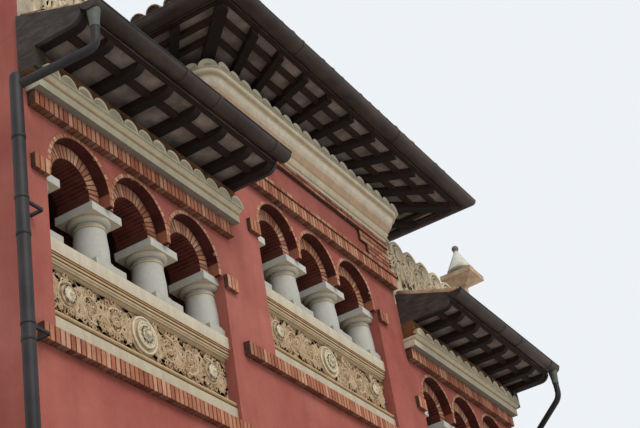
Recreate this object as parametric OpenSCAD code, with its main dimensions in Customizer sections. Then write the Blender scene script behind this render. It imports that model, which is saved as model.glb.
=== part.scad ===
// Top-storey front of a row house: a raised three-arch tower bay between two three-arch side bays.
// Millimetres, +Z up, +X along the front, the street side faces -Y.

/* [Arcade] */
// Spacing of the gallery columns along the front
arch_pitch = 800; // [700:10:960]
// Clear radius of each brick arch
opening_radius = 240; // [190:5:270]
// Width of the inner brick order, seen on the face
inner_order = 136; // [90:2:140]
// Width of the thin brick ring round each arch on the wall face
face_ring = 36; // [24:2:44]
// Depth of the outer arch order into the wall
outer_order_depth = 110; // [70:5:150]
// Height of the straight stilt between the abacus and the half circle of an arch
arch_stilt = 72; // [40:4:120]
// Height of a column from parapet ledge to arch springing
column_height = 624; // [540:10:900]
// Diameter of a column shaft at its foot
shaft_diameter = 312; // [200:4:340]
// Side of a column's square plinth and abacus
abacus_side = 392; // [340:4:430]
// Distance from the outer columns' axis to the jamb that buries their outer side
jamb_offset = 41; // [20:1:80]

/* [Walls] */
// Thickness of the front wall
wall_thickness = 452; // [440:2:600]
// Depth of the whole block from the wall face to the back
block_depth = 2000; // [1600:50:2600]
// Height of plain wall below the side parapets
plinth_height = 1010; // [600:1:1200]
// Height the tower bay is raised above the side bays
tower_rise = 888; // [780:10:1100]
// Width of plain wall between a side arcade and the tower corner
side_margin = 196; // [190:2:400]
// Width of plain wall between the tower arcade and the tower corner
tower_margin = 574; // [500:10:800]
// Width of plain wall at the outer ends
end_margin = 252; // [240:4:500]
// Thickness of the rear wall
rear_wall = 300; // [200:10:400]
// Thickness of the party walls and the tower's side walls
inner_wall = 250; // [150:10:320]
// Thickness of the gallery floors
floor_thickness = 150; // [100:10:250]

/* [Parapet] */
// Height of the stone parapets
parapet_height = 879; // [800:10:1100]
// Set-back of the carved panel behind the wall face
frieze_setback = 111; // [90:3:130]
// Thickness of the carved panel's slab
panel_thickness = 40; // [30:2:60]

/* [Brickwork] */
// Height of a soldier brick course
soldier_height = 130; // [90:5:180]
// Reach of the upper soldier courses from the wall face
soldier_reach = 72; // [50:2:90]
// Reach of the soldier courses under the parapets
base_reach = 62; // [40:2:80]
// Height of the brick imposts beside each arcade
impost_height = 134; // [100:2:160]
// Width of the brick imposts
impost_width = 184; // [140:2:188]
// Height of the tower's brick string
string_height = 50; // [40:2:80]
// Height of the red panel above the tower's brick string
tower_panel_height = 368; // [300:8:600]
// Height of the brick course under the tower's cornice
top_course_height = 100; // [70:5:140]

/* [Cornices] */
// Height of the side bays' stone cornice
side_cornice_height = 124; // [100:2:160]
// Reach of the side bays' stone cornice
side_cornice_reach = 190; // [180:2:200]
// Height of the tower's stone cornice
tower_cornice_height = 375; // [300:5:460]
// Reach of the tower's stone cornice
tower_cornice_reach = 218; // [200:2:224]
// Width of one round tile end
tile_width = 202.5; // [160:2.5:240]

/* [Eaves] */
// Reach of the side eaves from the wall face to the gutter lip
side_eave = 824; // [740:4:1000]
// Reach of the tower eaves from the wall face to the gutter lip
tower_eave = 944; // [860:4:1200]
// Width and depth of the side gutters
side_gutter = 168; // [120:4:190]
// Width and depth of the tower gutter
tower_gutter = 192; // [140:4:220]
// Depth of the rafters
rafter_depth = 84; // [70:2:120]
// Width of the rafters
rafter_width = 88; // [60:2:110]
// Thickness of the boards on the rafters
board_thickness = 24; // [18:1:32]
// Pitch of the tiled roofs in degrees
roof_pitch = 20; // [16:1:26]

/* [Cresting] */
// Height of the stone cresting above the side walls
crest_height = 980; // [840:10:1100]
// Thickness of the stone cresting
crest_thickness = 60; // [40:5:120]
// Width of the piers that carry the urns
pier_width = 216; // [200:4:300]

/* [Hidden] */

// Plan
order_radius = opening_radius + inner_order;
ring_radius = order_radius + face_ring;
half_bay = 1.5 * arch_pitch + jamb_offset;
tower_half = half_bay + tower_margin;
side_centre = tower_half + side_margin + half_bay;
end_half = side_centre + half_bay + end_margin;
column_y = wall_thickness - abacus_side / 2;
room_back = block_depth - rear_wall;
plan_shift = (tower_eave - block_depth) / 2;

// Heights of the side bays
spring = plinth_height + parapet_height + column_height;
arch_top = arch_stilt + ring_radius;
side_course = spring + arch_top;
side_cornice = side_course + soldier_height;
side_tiles = side_cornice + side_cornice_height;
plate_height = 208;
side_plate = side_tiles + plate_height;
side_soffit = side_plate + rafter_depth;
side_boards = side_soffit + board_thickness;
wall_upstand = 160;
side_wall_top = side_boards + wall_upstand;
deck_thickness = 120;

// Heights of the tower bay
tower_course_gap = 12;
tower_course = spring + tower_rise + arch_top + tower_course_gap;
tower_panel = tower_course + soldier_height + string_height;
tower_top_course = tower_panel + tower_panel_height;
tower_cornice = tower_top_course + top_course_height;
tower_tiles = tower_cornice + tower_cornice_height;
tower_plate_height = 116;
tower_plate = tower_tiles + tower_plate_height;
tower_soffit = tower_plate + rafter_depth;
tower_wall_top = tower_soffit + board_thickness;

// Carved panels, as shares of the parapet's height
panel_low = 0.33;
panel_high = 0.725;

// Brickwork
base_overhang = 214;
end_joint = 2;
impost_reach = 40;
string_step = 10;
string_reach = [60, 88];
quoin_reach = 25;
quoin_width = [528, 680];
quoin_cap = 140;
top_course_reach = 40;

// Eaves and roofs
cornice_overhang = 200;
plate_reach = 152;
tower_plate_reach = 176;
tile_reach = 203;
tower_tile_reach = 227;
tile_bed = 44;
eave_overhang = 279;
eave_joint = 29;
eave_outer = half_bay + eave_overhang;
eave_inner = half_bay + side_margin - eave_joint;
side_edge = side_eave - side_gutter;
tower_edge = tower_eave - tower_gutter;
verge_width = 40;
nose_run = 4 / 3 * rafter_depth;
nose_radius = (pow(nose_run, 2) + pow(rafter_depth, 2)) / (2 * rafter_depth);
fascia = 16;
tower_fascia = 40;
batten = [60, 48];
side_batten = 0.63 * side_edge;
tower_battens = [0.46 * tower_edge, 0.75 * tower_edge];
side_rafters = 6;
tower_rafter_fan = 0.1935;
hip_width = 120;
tile_build = [56, 115];
gutter_level = 40;
roof_skin = 120;
cover_radius = 82;
cover_rows = [14, 25];
cover_overhang = [60, 125];
cap_radius = [96, 106];
cap_skirt = 44;
cap_overhang = 20;
ridge_lap = 85;
hip_gap = 24;
sheet = 8;

// Rainwater pipes
pipe_radius = 50;
neck_radius = 36;
pipe_stand_off = 112;
pipe_offset = 198;
pipe_x = end_half + pipe_offset;
neck_inset = 60;
neck_fall = 190;
bracket_height = 30;
neck_above_spring = [576, 386];
bracket_levels = [plinth_height - soldier_height - bracket_height - end_joint, spring - column_height + 40];

// Cresting and urns
crest_end = end_half - pier_width;
lobe_pitch = 0.4375 * arch_pitch;
lobe_inset = 0.79 * lobe_pitch;
lobe_count = 7;
lobe_radius = 0.543 * lobe_pitch;
lobe_rim = 0.2 * lobe_radius;
lobe_eye = 0.4 * lobe_radius;
gap_radius = 0.9 * lobe_radius;
gap_drop = 0.8 * lobe_radius;
crest_relief = 24;
crest_top = side_wall_top + crest_height;
lobe_z = crest_top - lobe_radius;
pier_depth = 302;
pier_rise = 110;
pier_cap = 90;
urn_stem = 50;
urn_foot = 94;
urn_slab = 228;
urn_slab_heights = [330, 439, 506];
urn_drum = [190, 580];
urn_lid_top = [25, 912];
ball_radius = 48;

// Reach of endless cutters, overshoot of cutters, and overlap inside one solid
far = 20000;
cut = 10;
seat = 1;
$fn = 48;

function lift(s) = s == 0 ? tower_rise : 0;
function bay_x(s) = s * side_centre;
// Points in percent, scaled to a depth and a height
function scaled(points, depth, height) = [for (p = points) [p[0] * depth, p[1] * height] / 100];
// Points on an arc round [cy, cz] between two angles
function arc(cy, cz, r, from, to, steps = 6) =
    [for (i = [0:steps]) let (q = from + (to - from) * i / steps) [cy + r * cos(q), cz + r * sin(q)]];
function backwards(points) = [for (i = [len(points) - 1:-1:0]) points[i]];

// Its children on the right, or mirrored to the left
module hand(s) {
    mirror([s < 0 ? 1 : 0, 0, 0]) children();
}

module pair() {
    for (s = [-1, 1]) hand(s) children();
}

// A block given by its two opposite corners
module block(p, q) {
    translate(p) cube(q - p);
}

// A profile of [y, z] points run along X from x0 to x1
module run_x(points, x0, x1) {
    translate([x0, 0, 0]) rotate([90, 0, 90]) linear_extrude(height = x1 - x0) polygon(points);
}

// A profile of [x, z] points run along Y from y0 to y1
module run_y(points, y0, y1) {
    translate([0, y1, 0]) rotate([90, 0, 0]) linear_extrude(height = y1 - y0) polygon(points);
}

// A disc that faces the street, from y0 back to y1
module disc(r, y0, y1) {
    translate([0, y1, 0]) rotate([90, 0, 0]) cylinder(r = r, h = y1 - y0);
}

// The upright outline of one arch, a half circle on two stilts, from y0 back to y1
module arch_bore(r, y0, y1, foot = 0) {
    translate([0, y1, 0]) rotate([90, 0, 0]) linear_extrude(height = y1 - y0) difference() {
        union() {
            translate([0, arch_stilt]) circle(r = r);
            translate([-r, foot]) square([2 * r, arch_stilt - foot]);
        }
        translate([-2 * r, foot - 2 * r]) square([4 * r, 2 * r]);
    }
}

// Its children at the three arches of a bay, at the springing
module three(s) {
    for (i = [-1:1]) translate([bay_x(s) + i * arch_pitch, 0, spring + lift(s)]) children();
}

// The hole that a bay's parapet, columns and arches fill
module bay_hole(s) {
    translate([bay_x(s), 0, lift(s)])
        block([-half_bay, -cut, plinth_height], [half_bay, wall_thickness + cut, spring]);
    three(s) {
        arch_bore(ring_radius, -cut, outer_order_depth, -cut);
        arch_bore(order_radius, outer_order_depth - cut, wall_thickness + cut, -cut);
    }
}

// A frame round three sides of the tower between two reaches from its walls
module frame_ring(r0, r1, z0, z1) {
    difference() {
        block([-tower_half - r1, -r1, z0], [tower_half + r1, block_depth, z1]);
        block([-tower_half - r0, -r0, z0 - cut], [tower_half + r0, block_depth + cut, z1 + cut]);
    }
}

// The tower's plan grown by a moulding of [reach, z] points, mitred at both corners
module wrap(points, y1) {
    z0 = points[0][1];
    z1 = points[len(points) - 1][1];
    intersection() {
        run_x(concat([for (p = points) [-p[0], p[1]]], [[y1, z1], [y1, z0]]), -far, far);
        run_y(concat([for (p = points) [tower_half + p[0], p[1]]],
            backwards([for (p = points) [-tower_half - p[0], p[1]]])), -far, y1);
    }
}

// A round bar between two points
module bar(p, q, r) {
    v = q - p;
    l = norm(v);
    translate(p) rotate([0, acos(v[2] / l), atan2(v[1], v[0])]) cylinder(r = r, h = l);
}

module side_wall() {
    difference() {
        block([tower_half, 0, 0], [end_half, wall_thickness, side_wall_top]);
        bay_hole(1);
    }
}

module wall_left() {
    color("#A45B50") hand(-1) side_wall();
}

module wall_right() {
    color("#A45B50") side_wall();
}

module wall_tower() {
    color("#A45B50") difference() {
        block([-tower_half, 0, 0], [tower_half, wall_thickness, tower_wall_top]);
        bay_hole(0);
    }
}

module party_walls() {
    color("#B0705C") pair()
        block([end_half - inner_wall, wall_thickness, 0], [end_half, room_back, side_wall_top]);
}

module tower_side_walls() {
    color("#A8604F") pair()
        block([tower_half - inner_wall, wall_thickness, 0], [tower_half, room_back, tower_wall_top]);
}

module back_wall() {
    color("#B4806C") union() {
        block([-end_half, room_back, 0], [end_half, block_depth, side_wall_top]);
        block([-tower_half, room_back, side_wall_top - cut], [tower_half, block_depth, tower_wall_top]);
    }
}

// Floors one soldier course below the parapets
module gallery_floors() {
    top = plinth_height - soldier_height;
    color("#8A6A58") {
        pair() block([tower_half, wall_thickness, top - floor_thickness],
            [end_half - inner_wall, room_back, top]);
        translate([0, 0, tower_rise])
            block([inner_wall - tower_half, wall_thickness, top - floor_thickness],
                [tower_half - inner_wall, room_back, top]);
    }
}

// Flat decks that close the side galleries and the tower room
module upper_decks() {
    color("#7A7068") {
        pair() block([tower_half, pier_depth, side_wall_top],
            [end_half, block_depth, side_wall_top + deck_thickness]);
        block([inner_wall - tower_half, wall_thickness, tower_panel],
            [tower_half - inner_wall, room_back, tower_panel + deck_thickness]);
    }
}

// The thin outer rings, flush with the wall face
module arch_rings() {
    color("#A96A4C") for (s = [-1:1]) difference() {
        three(s) arch_bore(ring_radius, 0, outer_order_depth);
        three(s) arch_bore(order_radius, -cut, outer_order_depth + cut, -cut);
    }
}

// The deep inner order of each arch, behind its ring
module arch_orders(s) {
    color("#B07455") three(s) difference() {
        arch_bore(order_radius, outer_order_depth, wall_thickness);
        arch_bore(opening_radius, outer_order_depth - cut, wall_thickness + cut, -cut);
    }
}

module arch_orders_left() {
    arch_orders(-1);
}

module arch_orders_tower() {
    arch_orders(0);
}

module arch_orders_right() {
    arch_orders(1);
}

// One turned column with square plinth and abacus, standing at the origin
module column() {
    r = shaft_diameter / 2;
    h = column_height;
    q = abacus_side / 2;
    foot = 0.54 * r;
    head = 0.49 * r;
    bead = 0.1 * r;
    neck = 0.88 * r;
    flare = [q - bead / 2 - neck, 0.27 * r];
    block([-q, -q, 0], [q, q, foot]);
    block([-q, -q, h - head], [q, q, h]);
    rotate_extrude() polygon(concat([[0, foot]],
        arc(r + bead, foot + bead, bead, -90, 90),
        [[r + bead / 2, foot + 2 * bead], [r + bead / 2, foot + 2.6 * bead], [r, foot + 3.4 * bead],
            [0.985 * r, 0.45 * h]],
        arc(neck, h - head - 5.1 * bead, 0.6 * bead, -90, 90),
        [for (i = [0:18:90]) [neck + flare[0] * sin(i), h - head - flare[1] * cos(i)]],
        [[0, h - head]]));
}

module columns(s) {
    color("#C4C3BA") translate([bay_x(s), 0, spring - column_height + lift(s)]) intersection() {
        for (i = [-1.5:1.5]) translate([i * arch_pitch, column_y, 0]) column();
        block([-half_bay, 0, 0], [half_bay, wall_thickness, column_height]);
    }
}

module columns_left() {
    columns(-1);
}

module columns_tower() {
    columns(0);
}

module columns_right() {
    columns(1);
}

// The parapet's front from its foot up to the ledge, in percent of the set-back and of the height
module parapet(s) {
    face = scaled([[32, 0], [32, 20.5], [48, 20.5], [48, 22.3], [36, 22.9], [29, 24.1], [29, 25.3],
        [36, 26.5], [48, 27.1], [54, 27.3], [54, 28.7], [75, 28.7], [80, 30.4], [90, 31.4],
        [100, 31.8], [100, 73.6], [90, 74], [80, 75], [75, 76.6], [62, 76.6], [62, 78.3],
        [52, 78.7], [47, 79.7], [52, 80.7], [62, 81.1], [62, 81.6], [45, 81.6], [45, 83.8],
        [52, 84.2], [52, 84.7], [38, 84.7], [38, 85.8], [50, 85.8], [50, 86.4], [32, 86.4],
        [32, 100]], frieze_setback, parapet_height);
    color("#BEB098") difference() {
        translate([bay_x(s), 0, plinth_height + lift(s)])
            run_x(concat(face, [[wall_thickness, parapet_height], [wall_thickness, 0]]),
                -half_bay, half_bay);
        panel_slab(s, cut);
    }
}

// The slab of a carved panel, or with a lip in front the pocket for it in the parapet
module panel_slab(s, lip) {
    x = half_bay - frieze_setback / 4;
    translate([bay_x(s), frieze_setback, plinth_height + lift(s)])
        block([-x, -lip, panel_low * parapet_height], [x, panel_thickness, panel_high * parapet_height]);
}

module parapet_left() {
    parapet(-1);
}

module parapet_tower() {
    parapet(0);
}

module parapet_right() {
    parapet(1);
}

// Panels of foliage carving, drawn as slabs with a stepped round boss and two end roundels
module carved_panels() {
    mid = (panel_low + panel_high) / 2 * parapet_height;
    r = (panel_high - panel_low) / 2 * parapet_height;
    color("#C0B49C") for (s = [-1:1]) {
        union() {
            panel_slab(s, 0);
            translate([bay_x(s), frieze_setback + seat, plinth_height + mid + lift(s)]) {
                disc(0.98 * r, -0.2 * r, 0);
                disc(0.68 * r, -0.3 * r, 0);
                for (m = [-1, 1]) translate([m * (half_bay - 1.6 * r), 0, 0]) disc(0.5 * r, -0.2 * r, 0);
            }
        }
    }
}

module brick_base_courses() {
    low = plinth_height - soldier_height;
    color("#B5734F") {
        pair() block([tower_half + end_joint, -base_reach, low],
            [side_centre + half_bay + base_overhang, 0, plinth_height]);
        translate([0, 0, tower_rise])
            block([-tower_half, -base_reach, low], [tower_half, 0, plinth_height]);
    }
}

module brick_upper_courses() {
    color("#B5734F") {
        pair() translate([side_centre, 0, side_course])
            block([-half_bay - impost_width, -soldier_reach, 0],
                [half_bay + impost_width, 0, soldier_height]);
        translate([0, 0, tower_course])
            block([-tower_half, -soldier_reach, 0], [tower_half, 0, soldier_height]);
    }
}

// Brick blocks that carry the outer arches down to the jambs
module impost_blocks() {
    top = 0.25 * arch_stilt;
    color("#B5734F") for (s = [-1:1]) translate([bay_x(s), 0, spring + top + lift(s)]) pair()
        block([half_bay, -impost_reach, -impost_height], [half_bay + impost_width, 0, 0]);
}

module tower_string() {
    z = tower_course + soldier_height;
    color("#BE8466") union() {
        block([-tower_half, -string_reach[0], z], [tower_half, 0, tower_panel]);
        block([-tower_half, -string_reach[1], z + string_step], [tower_half, 0, tower_panel]);
    }
}

module tower_quoins() {
    color("#B88468") pair() union() {
        block([tower_half - quoin_width[0], -quoin_reach, tower_panel],
            [tower_half, 0, tower_top_course]);
        block([tower_half - quoin_width[1], -quoin_reach, tower_top_course - quoin_cap],
            [tower_half, 0, tower_top_course]);
    }
}

module tower_top_course() {
    color("#B88468")
        block([-tower_half, -top_course_reach, tower_top_course], [tower_half, 0, tower_cornice]);
}

module tower_cornice() {
    steps = scaled([[16.5, 0], [16.5, 10.7], [24, 12.3], [24, 20.8], [26, 24], [29.5, 26.4],
        [29.5, 29.3], [38.5, 31.5], [38.5, 40], [42, 43.7], [47.5, 47], [55, 49], [55, 58.7],
        [67, 60.8], [67, 69.9], [69, 74], [74, 78.6], [83, 81.5], [92, 82.7], [92, 90.7],
        [98, 93.9], [100, 97], [100, 100]], tower_cornice_reach, tower_cornice_height);
    z = tower_cornice;
    color("#C2B59C") difference() {
        wrap([for (p = steps) [p[0], p[1] + z]], block_depth);
        block([-tower_half, 0, z - cut], [tower_half, block_depth + cut, tower_tiles + cut]);
    }
}

module side_cornices() {
    steps = scaled([[0, 0], [76, 0], [76, 66], [80, 68], [80, 75], [82, 75], [85, 84], [91, 91],
        [100, 94], [100, 100], [0, 100]], side_cornice_reach, side_cornice_height);
    x = half_bay + cornice_overhang;
    color("#C2B59C") pair() translate([side_centre, 0, side_cornice])
        run_x([for (p = steps) [-p[0], p[1]]], -x, x);
}

// Half-round tile ends in a row along X on a flat bed
module tile_row_sides() {
    x = half_bay + cornice_overhang;
    n = round(2 * x / tile_width);
    r = x / n;
    color("#CFC3AA") pair() translate([side_centre, 0, side_tiles]) intersection() {
        union() {
            block([-x, -tile_reach, 0], [x, -plate_reach, tile_bed]);
            for (i = [0:n - 1]) translate([(2 * i + 1) * r - x, 0, 0]) disc(r, -tile_reach, -plate_reach);
        }
        block([-x, -tile_reach, 0], [x, -plate_reach, r]);
    }
}

// The same row turned round three sides of the tower
module tile_row_tower() {
    x = tower_half + tower_tile_reach;
    y = block_depth + tower_tile_reach;
    n = round(2 * x / tile_width);
    m = round(y / tile_width);
    r = 0.95 * x / n;
    color("#CFC3AA") difference() {
        translate([0, 0, tower_tiles]) {
            block([-x, -tower_tile_reach, 0], [x, block_depth, tile_bed]);
            for (i = [0:n - 1]) translate([(2 * i + 1) * x / n - x, 0, 0]) disc(r, -tower_tile_reach, 0);
            pair() for (j = [0:m - 1]) translate([0, block_depth - (j + 0.5) * y / m, 0])
                rotate([0, 90, 0]) cylinder(r = r, h = x);
        }
        block([-far, -far, tower_tiles - far], [far, far, tower_tiles]);
        block([-tower_half - tower_plate_reach, -tower_plate_reach, tower_tiles - cut],
            [tower_half + tower_plate_reach, far, tower_plate]);
    }
}

// The boards behind the tile ends, which carry the rafters
module wall_plates() {
    color("#5A3524") {
        pair() translate([side_centre, 0, 0])
            block([-eave_inner, -plate_reach, side_tiles], [eave_outer, 0, side_plate]);
        frame_ring(0, tower_plate_reach, tower_tiles, tower_plate);
    }
}

// The underside of a side rafter of a given reach, from the wall out to its upturned nose
function rafter_nose(reach) = concat([[0, side_plate]],
    arc(nose_run - reach, side_plate + nose_radius, nose_radius, -90, -90 - asin(nose_run / nose_radius)));

module side_rafters() {
    reach = side_edge - fascia;
    clear = eave_outer + eave_inner - verge_width;
    step = clear / (side_rafters + 1);
    beside = verge_width + rafter_width / 2;
    between = [for (i = [1:side_rafters]) verge_width / 2 - eave_inner + i * step];
    color("#3A2A22") translate([side_centre, 0, 0])
        for (x = concat([beside - eave_inner], between, [eave_outer - beside])) translate([x, 0, 0])
            difference() {
                run_x(concat(rafter_nose(reach), [[0, side_soffit]]), -rafter_width / 2, rafter_width / 2);
                side_mid_batten(cut);
            }
}

// The batten halfway along the side eaves, or the trench cut for it
module side_mid_batten(above) {
    x = eave_outer + eave_inner;
    block([-x, -side_batten - batten[0] / 2, side_soffit - batten[1]],
        [x, -side_batten + batten[0] / 2, side_soffit + above]);
}

module rafters_left() {
    hand(-1) side_rafters();
}

module rafters_right() {
    side_rafters();
}

// Rafters that fan out from the roof's middle, with a stouter one under each hip
module rafters_tower() {
    long = 2 * (tower_half + tower_edge);
    fan = [-4:4];
    color("#3A2A22") difference() {
        intersection() {
            frame_ring(0, tower_edge - tower_fascia, tower_plate, tower_soffit);
            translate([0, tower_half, 0]) union() {
                for (j = fan) rotate([0, 0, atan(tower_rafter_fan * j)]) fan_rafter(rafter_width, long);
                pair() {
                    rotate([0, 0, 45]) fan_rafter(hip_width, long);
                    for (j = [-4:0]) rotate([0, 0, 90 + atan(tower_rafter_fan * j)])
                        fan_rafter(rafter_width, long);
                }
            }
        }
        for (r = tower_battens) frame_ring(r - batten[0] / 2, r + batten[0] / 2,
            tower_soffit - batten[1], tower_soffit + cut);
    }
}

module fan_rafter(width, long) {
    block([-width / 2, -long, tower_plate], [width / 2, 0, tower_soffit]);
}

// Sloping boards at both ends of each side roof
module verge_boards() {
    top = side_boards + tile_build[0];
    rise = side_edge * tan(roof_pitch);
    color("#3A2A22") pair() translate([side_centre, 0, 0])
        for (x = [-eave_inner, eave_outer - verge_width])
            run_x(concat(rafter_nose(side_edge), [[-side_edge, top], [0, top + rise]]), x, x + verge_width);
}

module eave_battens() {
    low = tower_soffit - batten[1];
    color("#4A2E24") {
        pair() translate([side_centre, 0, 0]) intersection() {
            union() {
                side_mid_batten(0);
                block([-far, -side_edge, side_soffit - batten[1] / 2],
                    [far, fascia - side_edge, side_soffit]);
            }
            block([verge_width - eave_inner, -side_edge, side_plate],
                [eave_outer - verge_width, 0, side_soffit]);
        }
        for (r = tower_battens) frame_ring(r - batten[0] / 2, r + batten[0] / 2, low, tower_soffit);
        frame_ring(tower_edge - tower_fascia, tower_edge, tower_plate, tower_soffit);
    }
}

module eave_boards_sides() {
    color("#6E625C") pair() translate([side_centre, 0, 0])
        block([verge_width - eave_inner, -side_edge, side_soffit],
            [eave_outer - verge_width, 0, side_boards]);
}

module eave_boards_tower() {
    color("#6E625C") frame_ring(0, tower_edge, tower_soffit, tower_wall_top);
}

// A half-round row of cover tiles from the origin up a slope towards +Y
module cover(length, climb, r = cover_radius, skirt = seat) {
    rotate([climb - 90, 0, 0]) linear_extrude(height = length) intersection() {
        circle(r = r);
        translate([-r, -r]) square([2 * r, r + skirt]);
    }
}

// Lean-to roofs of tiles on boards between the verge boards
module side_roofs() {
    top = side_boards + tile_build[0];
    rise = side_edge * tan(roof_pitch);
    x0 = verge_width - eave_inner;
    x1 = eave_outer - verge_width;
    over = cover_overhang[0];
    step = (x1 - x0) / cover_rows[0];
    color("#A0745A") pair() translate([side_centre, 0, 0]) union() {
        run_x([[-side_edge, side_boards], [-side_edge, top], [0, top + rise], [0, side_boards]], x0, x1);
        for (i = [0.5:cover_rows[0]])
            translate([x0 + i * step, -side_edge - over, top - over * tan(roof_pitch)])
                cover((side_edge + over) / cos(roof_pitch), roof_pitch);
    }
}

// A hipped roof over a hollow attic, its ridge running back from the middle of the tower
module tower_roof() {
    z = tower_wall_top;
    inner = tower_half - inner_wall;
    color("#A0745A") union() {
        difference() {
            hip(z, z + tile_build[1]);
            intersection() {
                hip(z - far, z + tile_build[1] - roof_skin);
                block([-inner, wall_thickness, z - cut], [inner, room_back, far]);
            }
        }
        tower_covers(z + tile_build[1]);
    }
}

// Rows of cover tiles up the tower's three slopes, and the caps on its hips and ridge
module tower_covers(eave) {
    w = tower_half + tower_edge;
    over = cover_overhang[1];
    start = eave - over * tan(roof_pitch);
    step = 2 * w / cover_rows[1];
    for (i = [0.5:cover_rows[1]]) translate([i * step - w, -tower_edge - over, start])
        cover((over + w - abs(i * step - w) - hip_gap) / cos(roof_pitch), roof_pitch);
    pair() {
        for (i = [0.5:cover_rows[1] / 2]) translate([w + over, i * step - tower_edge, start])
            rotate([0, 0, 90]) cover((over + i * step - hip_gap) / cos(roof_pitch), roof_pitch);
        hip_climb = atan(tan(roof_pitch) / sqrt(2));
        out = cap_overhang;
        translate([w + out, -tower_edge - out, eave - out * tan(roof_pitch)]) rotate([0, 0, 45])
            cover(sqrt(2) * (w + out) / cos(hip_climb), hip_climb, cap_radius[0], cap_skirt);
    }
    translate([0, tower_half - ridge_lap, eave + w * tan(roof_pitch)])
        cover(block_depth - tower_half + ridge_lap, 0, cap_radius[1], cap_skirt);
}

// The space under the two side slopes and the front slope, which start at the height eave
module hip(z, eave) {
    w = tower_half + tower_edge;
    ridge = eave + w * tan(roof_pitch);
    intersection() {
        run_x([[-tower_edge, z], [-tower_edge, eave], [tower_half, ridge], [far, ridge], [far, z]],
            -w - cut, w + cut);
        run_y([[-w, z], [-w, eave], [0, ridge], [w, eave], [w, z]], -tower_edge - cut, block_depth);
    }
}

// Half of a round-bottomed gutter as [reach, z] points, from its lowest line up to one edge
function gutter_half(mid, z, r, rise, side) = concat(
    [for (q = [0:11.25:90]) [mid + side * r * sin(q), z - r * cos(q)]], [[mid + side * r, z + rise]]);
// Its whole outline as [y, z] points, from the wall side round to the lip
function gutter_outline(mid, z, r, rise) = concat([[r - mid, z + rise]],
    [for (q = [0:11.25:180]) [r * cos(q) - mid, z - r * sin(q)]], [[-r - mid, z + rise]]);

module gutters_sides() {
    r = side_gutter / 2;
    mid = side_eave - r;
    z = side_boards + gutter_level - r;
    color("#3D3532") pair() translate([side_centre, 0, 0]) difference() {
        run_x(gutter_outline(mid, z, r, r), -eave_inner - sheet, eave_outer + sheet);
        run_x(gutter_outline(mid, z, r - sheet, r + cut), -eave_inner, eave_outer);
    }
}

module gutter_tower() {
    r = tower_gutter / 2;
    mid = tower_eave - r;
    z = tower_wall_top + gutter_level - r;
    color("#3D3532") difference() {
        wrap(gutter_half(mid, z, r, r, 1), block_depth);
        wrap(gutter_half(mid, z, r, r, -1), block_depth + cut);
        difference() {
            wrap(gutter_half(mid, z, r - sheet, r + cut, 1), block_depth - sheet);
            wrap(gutter_half(mid, z, r - sheet, r + cut, -1), block_depth + cut);
        }
    }
}

// A swan neck from the gutter's end to a pipe that goes down beside the wall's end
module downpipe(top) {
    x = side_centre + eave_outer - neck_inset;
    y = side_gutter / 2 - side_eave;
    z = side_boards + gutter_level - side_gutter;
    elbow = [x, y, z - neck_fall];
    bar([x, y, z], elbow, neck_radius);
    translate(elbow) sphere(r = 1.08 * neck_radius);
    bar(elbow, [pipe_x, -pipe_stand_off, top], neck_radius);
    translate([pipe_x, -pipe_stand_off, 0]) {
        cylinder(r = pipe_radius, h = top + 0.4 * pipe_radius);
        translate([0, 0, top - 1.2 * pipe_radius]) cylinder(r = 1.24 * pipe_radius, h = 1.6 * pipe_radius);
    }
    for (z = bracket_levels) translate([0, 0, z]) {
        translate([pipe_x, -pipe_stand_off, 0]) cylinder(r = 1.12 * pipe_radius, h = bracket_height);
        block([end_half - pipe_radius, -0.4 * pipe_radius, 0], [pipe_x, 0, bracket_height]);
        block([pipe_x - pipe_radius / 4, -pipe_stand_off, 0], [pipe_x + pipe_radius / 4, 0, bracket_height]);
    }
}

module downpipes() {
    color("#4A4648") {
        hand(-1) union() downpipe(spring + neck_above_spring[0]);
        union() downpipe(spring + neck_above_spring[1]);
    }
}

// The middle of a lobe, counted from the pier towards the tower
function lobe_x(i) = crest_end - lobe_inset - i * lobe_pitch;

// A slab topped with scrolled lobes, each with a raised rim and eye, pierced wide and small by turns
module cresting() {
    color("#B9AD94") pair() difference() {
        intersection() {
            union() {
                block([tower_half, 0, side_wall_top], [crest_end, crest_thickness, lobe_z]);
                for (i = [0:lobe_count]) translate([lobe_x(i), 0, lobe_z]) lobe();
            }
            block([tower_half, -far, side_wall_top], [crest_end, far, crest_top]);
        }
        for (i = [0:2:lobe_count - 2]) translate([lobe_x(i + 0.5), 0, lobe_z - gap_drop]) {
            disc(gap_radius, -far, far);
            translate([-lobe_pitch, 0, 0]) disc(lobe_eye, -far, far);
        }
    }
}

module lobe() {
    disc(lobe_radius, 0, crest_thickness);
    difference() {
        disc(lobe_radius, -crest_relief, crest_thickness);
        disc(lobe_radius - lobe_rim, -far, 0);
    }
    disc(lobe_eye, -crest_relief, 0);
}

// A pier at the outer end of each cresting, which carries a lidded urn
module pinnacles() {
    top = crest_top + pier_rise;
    x0 = end_half - pier_width;
    color("#BFB4A0") pair() union() {
        block([x0, 0, side_wall_top], [end_half, pier_depth, top]);
        block([x0, -crest_relief, top - pier_cap], [end_half, pier_depth, top]);
        translate([end_half - pier_width / 2, pier_depth / 2, top]) urn();
    }
}

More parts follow.
